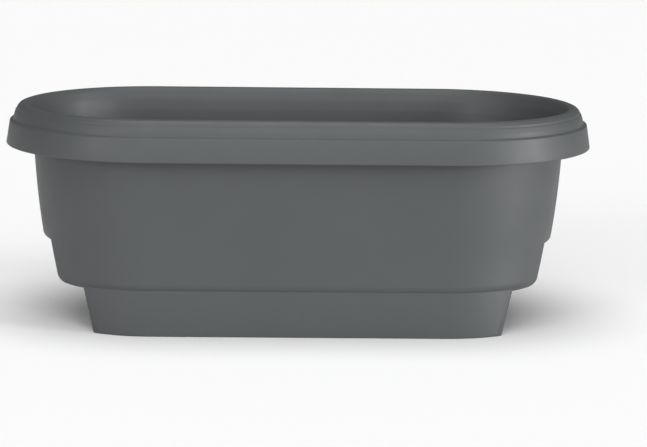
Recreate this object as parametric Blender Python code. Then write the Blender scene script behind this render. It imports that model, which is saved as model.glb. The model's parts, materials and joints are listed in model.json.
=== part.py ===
"""Self-watering deck-rail planter: a tub with a stepped saddle below, and its watering parts inside.

Metres, +Z up, +X along the tub, -Y the front. The origin is on the ground under the middle.
"""
import math

import bmesh
import bpy

# Tub outline: two half circles joined by straight sides
STRAIGHT_HALF = 0.151
WALL = 0.003
END_STEPS = 24

# Height and radius of the end arcs along the outer wall
TOP_WALL_Z = 0.185
TOP_WALL_R = 0.1253
FOOT_R_LOW = 0.110
FOOT_R_HIGH = 0.1105
FOOT_CREASE_Z = 0.0476
FOOT_INNER_Z = 0.0445
TIER_ROUND_R = 0.1130
TIER_ROUND_Z = 0.0555
WALL_BREAK_Z = 0.088
WALL_LEVELS = (0.088, 0.108, 0.132, 0.160, 0.185)
BASE_EDGE = 0.0015

# Rim: skirt foot, band above the step, crown and its inner edge
SKIRT_Z = 0.185
SKIRT_R = 0.154
SKIRT_TOP = (0.1504, 0.2088)
STEP_TOP = (0.1472, 0.2120)
BAND_TOP = (0.1456, 0.2190)
SHOULDER = (0.1428, 0.2232)
GROOVE = (0.1398, 0.2238)
BEAD = (0.1382, 0.2258)
CROWN = (0.1350, 0.2276)
CROWN_EDGE = (0.1318, 0.2262)
RIM_HOLLOW_UP = ((0.1262, 0.200), (0.1282, 0.2115), (0.1315, 0.2195), (0.1345, 0.2238), (0.1372, 0.2226))
RIM_HOLLOW_DOWN = ((0.1405, 0.2202), (0.1426, 0.2180), (0.1446, 0.2105), (0.1480, 0.2060))
RIM_INSIDE = ((0.1293, 0.2222), (0.1266, 0.2150), (0.1246, 0.2060), (0.1232, 0.1965))

# Saddle: narrow channel, wide channel and the ends of the feet
NARROW_Z = 0.087
NARROW_HALF = 0.050
NARROW_DRAFT = 0.23
NARROW_ROUND = 0.0055
NARROW_RISE = 0.018
NARROW_REACH = 0.290
WIDE_Z = 0.0435
WIDE_HALF = 0.075
WIDE_DRAFT = 0.10
WIDE_ROUND = 0.012
WIDE_RISE = 0.018
WIDE_REACH = 0.280
FOOT_END_X = 0.2195
FOOT_END_DRAFT = 0.23
FOOT_CORNER = 0.010
FOOT_CORNER_Y = 0.083
INSET_SHARE = 0.4
CUT_BELOW = 0.012
CUT_OUT = 0.300
CUT_SIDE = 0.200
PLUG_FLARE = 0.008
PLUG_STEP = 0.005
PLUG_HEIGHT = 0.040
LEAST_ROUND = 0.001
TRIM_TOP_Z = 0.112

# How far a cutter passes the face that it cuts
PASS = 0.002
MERGE = 0.00001
CROSS_STEP = 0.0002
SHARP_DEGREES = 35

# Places of the drains, cups, tube and gauge
TROUGH_Y = 0.0948
OVERFLOW_X = 0.112
DRAIN_X = -0.112
CUP_X = 0.075
CUP_Y = 0.094
FILL_X = -0.150
FILL_Y = -0.080
GAUGE_X = 0.150
GAUGE_Y = -0.094

# Drain bosses in the floors of the feet
BOSS_R = 0.013
BOSS_TOP = 0.008
RECESS_R = 0.010
RECESS_TOP = 0.005
OVERFLOW_HOLE_R = 0.007
DRAIN_HOLE_R = 0.0062
DRAIN_NOTCH_R = 0.0089
DRAIN_NOTCH_HALF = 0.0022
HOLE_LOW = 0.003
HOLE_HIGH = 0.012
NOTCH_DROP = 0.0005

# Platform
GAP = 0.0003
PLATE_LOW = 0.0965
PLATE_TOP = 0.0995
PLATE_R = 0.1123
SEAM_HALF = 0.0004
RIB_Y = 0.026
RIB_HALF = 0.0016
RIB_FROM = 0.018
RIB_TO = 0.236
POST_Y = 0.069
POST_R = 0.004
POST_XS = (0.030, 0.112, 0.196)
SLOT_HALF_L = 0.0085
SLOT_HALF_W = 0.0014
SLOT_STEP_X = 0.026
SLOT_STEP_Y = 0.0210
SLOT_FIRST_X = 0.020
SLOT_COLUMNS = 10
SLOT_ROWS = 5
SLOT_EDGE = 0.0050
SLOT_MARGIN = 0.0012
PLATE_TAPER = 0.0005
SINK = 0.001

# Wicking cups
CUP_HOLE_R = 0.0155
CUP_FLANGE_R = 0.018
CUP_TOP_R = 0.0150
CUP_MID_R = 0.0126
CUP_LOW_R = 0.0108
CUP_LOW_Z = 0.012
CUP_MID_Z = 0.052
CUP_WALL = 0.0015
CUP_SLOTS = ((0.019, 0.044), (0.056, 0.084))
CUP_SLOT_HALF = 0.0013
CUP_SLOT_REACH = 0.020
CUP_DRAIN_R = 0.002
CUP_DRAIN_DEEP = 0.004

# Fill tube, strainer and lid
TUBE_R = 0.015
TUBE_WALL = 0.002
TUBE_LOW_Z = 0.060
FUNNEL_LOW_Z = 0.185
FUNNEL_HIGH_Z = 0.199
MOUTH_R = 0.022
MOUTH_Z = 0.204
COLLAR_R = 0.019
COLLAR_H = 0.0026
HINGE_X = FILL_X - 0.026
HINGE_Z = 0.2053
HINGE_R = 0.0029
PIN_R = 0.0013
EAR_NEAR = 0.0042
EAR_FAR = 0.0074
EAR_BACK = 0.0024
EAR_LOW = 0.0050
EAR_IN = 0.0012
BORE_HALF = 0.012
KNUCKLE_STEPS = 14
KNUCKLE_STEP = 0.00005
FUNNEL_DROP = 0.0005
BASKET_SEAT = 0.0008
BASKET_WALL = 0.0012
BASKET_FLOOR = 0.166
BASKET_LOW_R = 0.0110
BASKET_R = 0.0116
BASKET_TAPER = 0.004
BASKET_RIM_R = 0.0194
BASKET_THICK = 0.0014
BASKET_SLOT_LOW = 0.005
BASKET_SLOT_HIGH = 0.026
BASKET_SLOT_HALF = 0.0011
BASKET_SLOT_REACH = 0.0125
BASKET_DRAIN_R = 0.0032
LID_R = 0.0226
LID_LOW = 0.2043
LID_TOP = 0.2063
LID_RING = ((0.0182, 0.2022), (0.0192, 0.2022))
LID_RING_ROOT_R = 0.0194
LID_EDGE = 0.0008
LID_CENTRE_R = 0.0040
LID_BORE_R = 0.0010
LID_STEP = 0.0002
ARM_HALF = 0.0038
ARM_DROP = 0.0007
ARM_IN = 0.0030
TAB_HALF = 0.0060
TAB_IN = 0.0020
TAB_OUT = 0.0042
PIN_HALF = 0.0082

# Gauge
GAUGE_R = 0.011
GAUGE_WALL = 0.0015
GAUGE_LOW_Z = 0.0085
GAUGE_JOIN_Z = 0.132
GAUGE_SPIGOT = 0.0006
GAUGE_SPIGOT_H = 0.004
GAUGE_COLLAR_R = 0.0152
GAUGE_FLOOR_R = 0.0030
GAUGE_SLOTS = ((0.013, 0.045), (0.052, 0.088))
GAUGE_SLOT_HALF = 0.0015
GAUGE_SLOT_REACH = 0.013
WINDOW_BORE_R = 0.0095
WINDOW_TOP_Z = 0.2040
FLOAT_R = 0.0078
FLOAT_LOW = 0.011
FLOAT_H = 0.022
FLOAT_EDGE_R = 0.0062
FLOAT_EDGE = 0.0020
STEM_R = 0.0015
STEM_BELOW = 0.0008
STEM_COLLAR_R = 0.0032
STEM_COLLAR_H = 0.0016
FLAG_R = 0.006
FLAG_LOW = 0.136
FLAG_TOP = 0.144
FLAG_EDGE = 0.001
CAP_R = 0.0127
CAP_LOW = 0.1960
CAP_TOP = 0.2095
CAP_EDGE = 0.001
CAP_THICK = 0.0020
CAP_VENT_R = 0.0008

# Overflow
PIPE_R = 0.005
PIPE_BORE = 0.0035
PIPE_LOW = 0.0020
PIPE_TOP = 0.0920
STRAINER_R = 0.0075
STRAINER_LOW = 0.082
STRAINER_TOP = 0.0955
STRAINER_EDGE = 0.0008
STRAINER_VENT_R = 0.0006
STRAINER_THICK = 0.0015
STRAINER_SLOTS = (0.0905, 0.0937)
STRAINER_SLOT_HALF = 0.0013
STRAINER_SLOT_REACH = 0.009
GROMMET_LOW_R = 0.0090
GROMMET_NECK_R = 0.0067
GROMMET_TOP_R = 0.0100
GROMMET_LOW_H = 0.0022
GROMMET_TOP_H = 0.0020

# Drain plug and its seal
PLUG_LOW_Z = 0.0008
PLUG_HEAD_R = 0.0092
PLUG_HEAD_EDGE = 0.0006
PLUG_NECK_R = 0.0059
PLUG_NECK_H = 0.0024
LUG_REACH = 0.0086
LUG_HALF = 0.0017
LUG_DROP = 0.0004
COIN_REACH = 0.0065
COIN_HALF = 0.0010
COIN_TOP = 0.0021
SEAL_R = 0.0088
SEAL_BORE_R = 0.0062
SEAL_H = 0.0012

# Name: (colour, roughness, metallic, alpha)
PAINTS = {
    "charcoal": ((0.064, 0.0675, 0.0705, 1.0), 0.55, 0.0, 1.0),
    "black_plastic": ((0.030, 0.031, 0.033, 1.0), 0.55, 0.0, 1.0),
    "grey_plastic": ((0.300, 0.305, 0.310, 1.0), 0.50, 0.0, 1.0),
    "clear_plastic": ((0.800, 0.850, 0.870, 1.0), 0.10, 0.0, 0.35),
    "red_plastic": ((0.550, 0.035, 0.025, 1.0), 0.40, 0.0, 1.0),
    "white_foam": ((0.780, 0.780, 0.760, 1.0), 0.70, 0.0, 1.0),
    "black_rubber": ((0.018, 0.018, 0.018, 1.0), 0.80, 0.0, 1.0),
    "steel": ((0.560, 0.570, 0.580, 1.0), 0.30, 1.0, 1.0),
}


def clear_scene():
    """Removes every object of the start-up scene."""
    for item in list(bpy.data.objects):
        bpy.data.objects.remove(item, do_unlink=True)


def make_collection(name, hidden):
    """Adds a collection under the scene."""
    made = bpy.data.collections.new(name)
    bpy.context.scene.collection.children.link(made)
    made.hide_render = hidden
    return made


def paint(name, colour, roughness, metallic, alpha):
    """Adds one Principled material."""
    made = bpy.data.materials.new(name)
    made.use_nodes = True
    shader = made.node_tree.nodes["Principled BSDF"]
    shader.inputs["Base Color"].default_value = colour
    shader.inputs["Roughness"].default_value = roughness
    shader.inputs["Metallic"].default_value = metallic
    shader.inputs["Alpha"].default_value = alpha
    return made


def add_object(name, mesh, collection):
    """Links a finished mesh as an object."""
    made = bpy.data.objects.new(name, mesh)
    collection.objects.link(made)
    return made


def mesh_from_rings(name, rings, closed):
    """Lofts rings of equal length; closed joins the last ring to the first, else both ends are capped."""
    work = bmesh.new()
    rows = [[work.verts.new(point) for point in ring] for ring in rings]
    count = len(rings[0])
    pairs = list(zip(rows, rows[1:]))
    if closed:
        pairs.append((rows[-1], rows[0]))
    else:
        work.faces.new(rows[0])
        work.faces.new(list(reversed(rows[-1])))
    for low, high in pairs:
        for i in range(count):
            j = (i + 1) % count
            work.faces.new((low[i], low[j], high[j], high[i]))
    bmesh.ops.recalc_face_normals(work, faces=work.faces)
    mesh = bpy.data.meshes.new(name)
    work.to_mesh(mesh)
    work.free()
    return mesh


def stadium(radius, z):
    """Ring of points round the tub outline, from the front right round to the front left."""
    ring = []
    for side in (1, -1):
        for i in range(END_STEPS + 1):
            angle = -math.pi / 2 + math.pi * i / END_STEPS
            x = STRAIGHT_HALF + radius * math.cos(angle)
            ring.append((side * x, side * radius * math.sin(angle), z))
    return ring


def circle(x, y, radius, z, steps):
    """Ring of points about an upright axis."""
    turn = 2 * math.pi / steps
    return [(x + radius * math.cos(turn * i), y + radius * math.sin(turn * i), z) for i in range(steps)]


def lathe(name, x, y, profile, steps, closed, collection):
    """Turns a profile of (radius, z) about an upright axis; closed makes a tube or ring."""
    rings = [circle(x, y, radius, z, steps) for radius, z in profile]
    return add_object(name, mesh_from_rings(name, rings, closed), collection)


def box(name, low, high, collection):
    """Adds a box between two corners."""
    rings = []
    for z in (low[2], high[2]):
        rings.append([(low[0], low[1], z), (high[0], low[1], z), (high[0], high[1], z), (low[0], high[1], z)])
    return add_object(name, mesh_from_rings(name, rings, False), collection)


def boxes(name, pairs, collection):
    """Adds one object holding several separate boxes."""
    work = bmesh.new()
    for low, high in pairs:
        made = bmesh.ops.create_cube(work, size=1.0)["verts"]
        for vert in made:
            for axis in range(3):
                middle = (low[axis] + high[axis]) / 2
                vert.co[axis] = middle + vert.co[axis] * (high[axis] - low[axis])
    mesh = bpy.data.meshes.new(name)
    work.to_mesh(mesh)
    work.free()
    return add_object(name, mesh, collection)


def barrel(name, x, y, z, radius, half, steps, collection):
    """Adds a cylinder that lies along Y."""
    rings = []
    for side in (-half, half):
        ring = []
        for i in range(steps):
            angle = 2 * math.pi * i / steps
            ring.append((x + radius * math.cos(angle), y + side, z + radius * math.sin(angle)))
        rings.append(ring)
    return add_object(name, mesh_from_rings(name, rings, False), collection)


def combine(target, tool, operation):
    """Applies one exact Boolean to the target."""
    change = target.modifiers.new(operation, "BOOLEAN")
    change.operation = operation
    change.solver = "EXACT"
    change.object = tool
    graph = bpy.context.evaluated_depsgraph_get()
    mesh = bpy.data.meshes.new_from_object(target.evaluated_get(graph))
    target.modifiers.clear()
    old = target.data
    target.data = mesh
    bpy.data.meshes.remove(old)
    used = tool.data
    bpy.data.objects.remove(tool, do_unlink=True)
    bpy.data.meshes.remove(used)


def finish(item, material):
    """Gives a piece its material, shading and a merged mesh."""
    work = bmesh.new()
    work.from_mesh(item.data)
    bmesh.ops.remove_doubles(work, verts=work.verts, dist=MERGE)
    bmesh.ops.recalc_face_normals(work, faces=work.faces)
    work.to_mesh(item.data)
    work.free()
    item.data.materials.clear()
    item.data.materials.append(material)
    item.data.shade_smooth()
    item.data.set_sharp_from_angle(angle=math.radians(SHARP_DEGREES))
    return item


def wall_radius(z):
    """Outer radius of the tub wall above the saddle."""
    if z < WALL_BREAK_Z:
        share = (z - TIER_ROUND_Z) / (WALL_BREAK_Z - TIER_ROUND_Z)
        return TIER_ROUND_R + share * (wall_radius(WALL_BREAK_Z) - TIER_ROUND_R)
    s = (TOP_WALL_Z - z) / 0.1
    return TOP_WALL_R - 0.00425 * s - 0.00585 * s * s


def tier_round(angle, radius):
    """Point on the rounded lower edge of the middle tier; angle runs from -90 degrees up."""
    middle_r = TIER_ROUND_R - WIDE_ROUND
    turn = math.radians(angle)
    return (middle_r + radius * math.cos(turn), TIER_ROUND_Z + radius * math.sin(turn))


def outer_profile():
    """Outer wall, hollow underside of the rim and the rim's top, from the ground up."""
    profile = [(FOOT_R_LOW - BASE_EDGE, 0.0), (FOOT_R_LOW, BASE_EDGE), (FOOT_R_HIGH, FOOT_CREASE_Z)]
    profile += [tier_round(-24, WIDE_ROUND), (TIER_ROUND_R, TIER_ROUND_Z)]
    profile += [(wall_radius(z), z) for z in WALL_LEVELS]
    profile += RIM_HOLLOW_UP
    profile += RIM_HOLLOW_DOWN
    profile += [(SKIRT_R - WALL, SKIRT_Z), (SKIRT_R, SKIRT_Z), SKIRT_TOP, STEP_TOP, BAND_TOP, SHOULDER]
    profile += [GROOVE, BEAD, CROWN, CROWN_EDGE]
    return profile


def inner_profile():
    """Inside of the tub from the crown down to the floors of the feet."""
    profile = list(RIM_INSIDE)
    profile += [(wall_radius(z) - WALL, z) for z in reversed(WALL_LEVELS)]
    profile += [(TIER_ROUND_R - WALL, TIER_ROUND_Z), (FOOT_R_HIGH - WALL, FOOT_INNER_Z)]
    profile.append((FOOT_R_LOW - WALL, WALL))
    return profile


def rounded_plug(ceiling, profile_low, inset, tools):
    """Solid standing on a channel ceiling with the rounded edge that the channel leaves."""
    profile = list(profile_low)
    last_r, last_z = profile[-1]
    profile.append((last_r + PLUG_FLARE, last_z + PLUG_STEP))
    profile.append((last_r + PLUG_FLARE, ceiling + PLUG_HEIGHT + inset))
    rings = [stadium(radius, z) for radius, z in profile]
    return add_object("rounded_plug", mesh_from_rings("rounded_plug", rings, False), tools)


def channel(half, draft, ceiling, rise, reach, tools):
    """Prism along X whose sides lean out downwards; rise is how far it stands above the ceiling."""
    low_z = -CUT_BELOW
    high_z = ceiling + rise
    low_half = half + draft * (ceiling - low_z)
    high_half = half - draft * rise
    rings = []
    for x in (-reach, reach):
        ring = [(x, -low_half, low_z), (x, low_half, low_z)]
        ring += [(x, high_half, high_z), (x, -high_half, high_z)]
        rings.append(ring)
    return add_object("channel", mesh_from_rings("channel", rings, False), tools)


def foot_end(side, inset, tools):
    """Block that ends both feet on one side, with its corners turned in round the tub."""
    rings = []
    for z in (-CUT_BELOW - PASS, WIDE_Z + WIDE_RISE + PASS + inset):
        near = FOOT_END_X - FOOT_END_DRAFT * (WIDE_Z - z) - inset
        y_turn = FOOT_CORNER_Y + inset * INSET_SHARE
        ring = [(near, -y_turn), (near - FOOT_CORNER, -y_turn - FOOT_CORNER), (near - FOOT_CORNER, -CUT_SIDE)]
        ring += [(CUT_OUT, -CUT_SIDE), (CUT_OUT, CUT_SIDE), (near - FOOT_CORNER, CUT_SIDE)]
        ring += [(near - FOOT_CORNER, y_turn + FOOT_CORNER), (near, y_turn)]
        rings.append([(side * x, y, z) for x, y in ring])
    return add_object("foot_end", mesh_from_rings("foot_end", rings, False), tools)


def saddle_space(inset, tools):
    """Space below the saddle; a larger inset gives the same space grown by the wall."""
    reach = NARROW_REACH + inset
    upper = channel(NARROW_HALF + inset, NARROW_DRAFT, NARROW_Z + inset, NARROW_RISE, reach, tools)
    turn = max(NARROW_ROUND - inset, LEAST_ROUND)
    wall = wall_radius(NARROW_Z + NARROW_ROUND + inset) - inset
    low = []
    for angle in (-90, -60, -30, 0):
        bend = math.radians(angle)
        low.append((wall - turn + turn * math.cos(bend), NARROW_Z + inset + turn + turn * math.sin(bend)))
    combine(upper, rounded_plug(NARROW_Z, low, inset, tools), "DIFFERENCE")
    reach = WIDE_REACH + inset
    lower = channel(WIDE_HALF + inset, WIDE_DRAFT, WIDE_Z + inset, WIDE_RISE, reach, tools)
    combine(lower, foot_end(-1, inset, tools), "UNION")
    combine(lower, foot_end(1, inset, tools), "UNION")
    low = [tier_round(angle, WIDE_ROUND - inset) for angle in (-90, -70, -50)]
    combine(lower, rounded_plug(WIDE_Z, low, inset, tools), "DIFFERENCE")
    combine(upper, lower, "UNION")
    return upper


def middle_solid(tools):
    """Solid whose side runs inside the tub wall, used to trim the saddle."""
    half = WALL / 2
    profile = [(FOOT_R_LOW - half, half), (FOOT_R_HIGH - half, FOOT_CREASE_Z)]
    profile.append((TIER_ROUND_R - half, TIER_ROUND_Z))
    profile += [(wall_radius(z) - half, z) for z in (WALL_BREAK_Z, TRIM_TOP_Z)]
    rings = [stadium(radius, z) for radius, z in profile]
    return add_object("middle", mesh_from_rings("middle", rings, False), tools)


def drain_boss(shell, x, y, tools):
    """Raises the floor of a foot round a drain and cuts the recess below it."""
    boss = lathe("boss", x, y, [(BOSS_R, WALL / 2), (BOSS_R, BOSS_TOP)], 24, False, tools)
    combine(shell, boss, "UNION")
    recess = lathe("recess", x, y, [(RECESS_R, -PASS), (RECESS_R, RECESS_TOP)], 24, False, tools)
    combine(shell, recess, "DIFFERENCE")


def make_shell(parts, tools, paints):
    """One-piece tub with its rolled rim, saddle and two hollow feet."""
    profile = outer_profile() + inner_profile()
    rings = [stadium(radius, z) for radius, z in profile]
    shell = add_object("planter_shell", mesh_from_rings("planter_shell", rings, False), parts)
    walls = saddle_space(WALL, tools)
    combine(walls, middle_solid(tools), "INTERSECT")
    combine(shell, walls, "UNION")
    combine(shell, saddle_space(0.0, tools), "DIFFERENCE")
    for side in (-1, 1):
        y = side * TROUGH_Y
        drain_boss(shell, OVERFLOW_X, y, tools)
        drain_boss(shell, DRAIN_X, y, tools)
        bore = [(OVERFLOW_HOLE_R, HOLE_LOW), (OVERFLOW_HOLE_R, HOLE_HIGH)]
        combine(shell, lathe("bore", OVERFLOW_X, y, bore, 24, False, tools), "DIFFERENCE")
        hole = [(DRAIN_HOLE_R, HOLE_LOW), (DRAIN_HOLE_R, HOLE_HIGH)]
        keyhole = lathe("hole", DRAIN_X, y, hole, 24, False, tools)
        low = (DRAIN_X - DRAIN_NOTCH_HALF, y - DRAIN_NOTCH_R, HOLE_LOW - NOTCH_DROP)
        high = (DRAIN_X + DRAIN_NOTCH_HALF, y + DRAIN_NOTCH_R, HOLE_HIGH + NOTCH_DROP)
        combine(keyhole, box("notch", low, high, tools), "UNION")
        combine(shell, keyhole, "DIFFERENCE")
    return finish(shell, paints["charcoal"])


def half_outline(side, radius, z):
    """Ring of one half of the platform, from the seam round the end."""
    ring = [(side * SEAM_HALF, -radius, z)]
    for i in range(END_STEPS + 1):
        angle = -math.pi / 2 + math.pi * i / END_STEPS
        ring.append((side * (STRAIGHT_HALF + radius * math.cos(angle)), radius * math.sin(angle), z))
    ring.append((side * SEAM_HALF, radius, z))
    return ring


def slot_clear(side, x, y):
    """True where a slot keeps clear of the edge, the ribs, the posts and the big holes."""
    reach = math.hypot(max(x + SLOT_HALF_L - STRAIGHT_HALF, 0.0), abs(y) + SLOT_HALF_W)
    if reach > PLATE_R - SLOT_EDGE:
        return False
    if abs(abs(y) - RIB_Y) < RIB_HALF + SLOT_HALF_W + SINK:
        return False
    round_things = [(CUP_X, CUP_Y, CUP_FLANGE_R), (CUP_X, -CUP_Y, CUP_FLANGE_R)]
    round_things += [(post, far * POST_Y, POST_R) for post in POST_XS for far in (-1, 1)]
    if side < 0:
        round_things.append((-FILL_X, FILL_Y, COLLAR_R))
    else:
        round_things.append((GAUGE_X, GAUGE_Y, GAUGE_COLLAR_R))
    for px, py, radius in round_things:
        away_x = max(abs(x - px) - SLOT_HALF_L, 0.0)
        away_y = max(abs(y - py) - SLOT_HALF_W, 0.0)
        if math.hypot(away_x, away_y) < radius + SLOT_MARGIN:
            return False
    return True


def slot_cutter(side, tools):
    """All the aeration slots of one platform half."""
    pairs = []
    for column in range(SLOT_COLUMNS):
        for row in range(-SLOT_ROWS, SLOT_ROWS + 1):
            x = SLOT_FIRST_X + column * SLOT_STEP_X
            y = row * SLOT_STEP_Y
            if not slot_clear(side, x, y):
                continue
            middle = side * x
            low = (middle - SLOT_HALF_L, y - SLOT_HALF_W, PLATE_LOW - PASS)
            high = (middle + SLOT_HALF_L, y + SLOT_HALF_W, PLATE_TOP + PASS)
            pairs.append((low, high))
    return boxes("slots", pairs, tools)


def make_platform(name, side, parts, tools, paints):
    """One half of the slotted platform that parts the soil from the water."""
    rings = [half_outline(side, PLATE_R - PLATE_TAPER, PLATE_LOW), half_outline(side, PLATE_R, PLATE_TOP)]
    plate = add_object(name, mesh_from_rings(name, rings, False), parts)
    ends = sorted((side * RIB_FROM, side * RIB_TO))
    for y in (-RIB_Y, RIB_Y):
        low = (ends[0], y - RIB_HALF, NARROW_Z + WALL + GAP)
        high = (ends[1], y + RIB_HALF, PLATE_LOW + SINK)
        combine(plate, box("rib", low, high, tools), "UNION")
    for x in POST_XS:
        for y in (-POST_Y, POST_Y):
            post = [(POST_R, WIDE_Z + WALL + GAP), (POST_R, PLATE_LOW + SINK)]
            combine(plate, lathe("post", side * x, y, post, 12, False, tools), "UNION")
    for y in (-CUP_Y, CUP_Y):
        hole = [(CUP_HOLE_R, PLATE_LOW - PASS), (CUP_HOLE_R, PLATE_TOP + PASS)]
        combine(plate, lathe("hole", side * CUP_X, y, hole, 24, False, tools), "DIFFERENCE")
    place = (FILL_X, FILL_Y, TUBE_R + GAP) if side < 0 else (GAUGE_X, GAUGE_Y, GAUGE_R + GAP)
    hole = [(place[2], PLATE_LOW - PASS), (place[2], PLATE_TOP + PASS)]
    combine(plate, lathe("hole", place[0], place[1], hole, 24, False, tools), "DIFFERENCE")
    combine(plate, slot_cutter(side, tools), "DIFFERENCE")
    return finish(plate, paints["black_plastic"])


def cross_slots(x, y, reach, half, low_z, high_z, tools):
    """Two upright cutters that cross on an axis and so open four slots."""
    along = box("slot", (x - reach, y - half, low_z), (x + reach, y + half, high_z), tools)
    low = (x - half, y - reach, low_z + CROSS_STEP)
    high = (x + half, y + reach, high_z - CROSS_STEP)
    combine(along, box("slot", low, high, tools), "UNION")
    return along


def make_cup(name, x, y, parts, tools, paints):
    """Slotted cup that holds soil down in the water and hangs in the platform."""
    seat = PLATE_TOP + GAP
    profile = [(CUP_LOW_R, CUP_LOW_Z), (CUP_MID_R, CUP_MID_Z), (CUP_TOP_R, seat), (CUP_FLANGE_R, seat)]
    profile += [(CUP_FLANGE_R, seat + CUP_WALL), (CUP_TOP_R - CUP_WALL, seat + CUP_WALL)]
    profile += [(CUP_MID_R - CUP_WALL, CUP_MID_Z), (CUP_LOW_R - CUP_WALL, CUP_LOW_Z + CUP_WALL)]
    cup = lathe(name, x, y, profile, 18, False, parts)
    for low_z, high_z in CUP_SLOTS:
        slots = cross_slots(x, y, CUP_SLOT_REACH, CUP_SLOT_HALF, low_z, high_z, tools)
        combine(cup, slots, "DIFFERENCE")
    drain = [(CUP_DRAIN_R, CUP_LOW_Z - PASS), (CUP_DRAIN_R, CUP_LOW_Z + CUP_DRAIN_DEEP)]
    combine(cup, lathe("drain", x, y, drain, 12, False, tools), "DIFFERENCE")
    return finish(cup, paints["black_plastic"])


def ear_with_knuckle(side, tools):
    """One hinge ear of the fill tube."""
    near, far = sorted((side * EAR_NEAR, side * EAR_FAR))
    low = (HINGE_X - EAR_BACK, FILL_Y + near, MOUTH_Z - EAR_LOW)
    high = (FILL_X - MOUTH_R + EAR_IN, FILL_Y + far, MOUTH_Z - GAP)
    ear = box("ear", low, high, tools)
    middle = FILL_Y + (near + far) / 2
    half = (far - near) / 2 - KNUCKLE_STEP
    combine(ear, barrel("knuckle", HINGE_X, middle, HINGE_Z, HINGE_R, half, KNUCKLE_STEPS, tools), "UNION")
    return ear


def make_fill_tube(parts, tools, paints):
    """Fill tube with a funnel mouth, a collar on the platform and two hinge ears."""
    seat = PLATE_TOP + GAP
    bore = TUBE_R - TUBE_WALL
    inside = MOUTH_R - TUBE_WALL
    profile = [(TUBE_R, TUBE_LOW_Z), (TUBE_R, seat), (COLLAR_R, seat), (COLLAR_R, seat + COLLAR_H)]
    profile += [(TUBE_R, seat + COLLAR_H), (TUBE_R, FUNNEL_LOW_Z)]
    profile += [(MOUTH_R, FUNNEL_HIGH_Z), (MOUTH_R, MOUTH_Z)]
    profile += [(inside, MOUTH_Z), (inside, FUNNEL_HIGH_Z), (bore, FUNNEL_LOW_Z - FUNNEL_DROP)]
    profile += [(bore, TUBE_LOW_Z)]
    tube = lathe("fill_tube", FILL_X, FILL_Y, profile, 24, True, parts)
    combine(tube, ear_with_knuckle(-1, tools), "UNION")
    combine(tube, ear_with_knuckle(1, tools), "UNION")
    combine(tube, barrel("bore", HINGE_X, FILL_Y, HINGE_Z, PIN_R + GAP, BORE_HALF, 12, tools), "DIFFERENCE")
    return finish(tube, paints["black_plastic"])


def make_fill_strainer(parts, tools, paints):
    """Slotted basket that hangs in the mouth of the fill tube."""
    seat = FUNNEL_HIGH_Z + BASKET_SEAT
    floor = BASKET_FLOOR
    profile = [(BASKET_LOW_R, floor), (BASKET_R, seat - BASKET_TAPER), (BASKET_R, seat), (BASKET_RIM_R, seat)]
    profile += [(BASKET_RIM_R, seat + BASKET_THICK), (BASKET_R - BASKET_WALL, seat + BASKET_THICK)]
    profile += [(BASKET_LOW_R - BASKET_WALL, floor + BASKET_THICK)]
    strainer = lathe("fill_strainer", FILL_X, FILL_Y, profile, 20, False, parts)
    low_z = floor + BASKET_SLOT_LOW
    high_z = floor + BASKET_SLOT_HIGH
    slots = cross_slots(FILL_X, FILL_Y, BASKET_SLOT_REACH, BASKET_SLOT_HALF, low_z, high_z, tools)
    combine(strainer, slots, "DIFFERENCE")
    drain = [(BASKET_DRAIN_R, floor - PASS), (BASKET_DRAIN_R, floor + BASKET_TAPER)]
    combine(strainer, lathe("drain", FILL_X, FILL_Y, drain, 12, False, tools), "DIFFERENCE")
    return finish(strainer, paints["grey_plastic"])


def make_fill_lid(parts, tools, paints):
    """Round lid with a plug ring below, a finger tab and a hinge knuckle."""
    profile = list(LID_RING)
    profile += [(LID_RING_ROOT_R, LID_LOW), (LID_R, LID_LOW), (LID_R, LID_TOP - LID_EDGE)]
    profile += [(LID_R - LID_EDGE, LID_TOP), (LID_BORE_R, LID_TOP)]
    profile += [(LID_BORE_R, LID_LOW), (LID_RING[0][0], LID_LOW)]
    lid = lathe("fill_lid", FILL_X, FILL_Y, profile, 24, True, parts)
    plug = [(LID_CENTRE_R, LID_LOW + LID_STEP), (LID_CENTRE_R, LID_TOP - LID_STEP)]
    combine(lid, lathe("centre", FILL_X, FILL_Y, plug, 16, False, tools), "UNION")
    low = (HINGE_X, FILL_Y - ARM_HALF, LID_LOW)
    high = (FILL_X - LID_R + ARM_IN, FILL_Y + ARM_HALF, LID_TOP - ARM_DROP)
    arm = box("arm", low, high, tools)
    half = ARM_HALF + KNUCKLE_STEP
    combine(arm, barrel("knuckle", HINGE_X, FILL_Y, HINGE_Z, HINGE_R, half, KNUCKLE_STEPS, tools), "UNION")
    combine(lid, arm, "UNION")
    low = (FILL_X + LID_R - TAB_IN, FILL_Y - TAB_HALF, LID_LOW + LID_STEP)
    high = (FILL_X + LID_R + TAB_OUT, FILL_Y + TAB_HALF, LID_TOP - ARM_DROP)
    combine(lid, box("tab", low, high, tools), "UNION")
    combine(lid, barrel("bore", HINGE_X, FILL_Y, HINGE_Z, PIN_R + GAP, BORE_HALF, 12, tools), "DIFFERENCE")
    lid = finish(lid, paints["black_plastic"])
    move_origin(lid, (HINGE_X, FILL_Y, HINGE_Z))
    return lid


def move_origin(item, place):
    """Puts the origin of an object at a place without moving its mesh."""
    for vert in item.data.vertices:
        for axis in range(3):
            vert.co[axis] -= place[axis]
    item.location = place


def make_lid_pin(parts, paints):
    """Steel pin through the lid hinge."""
    pin = barrel("fill_lid_pin", HINGE_X, FILL_Y, HINGE_Z, PIN_R, PIN_HALF, 12, parts)
    return finish(pin, paints["steel"])


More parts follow.
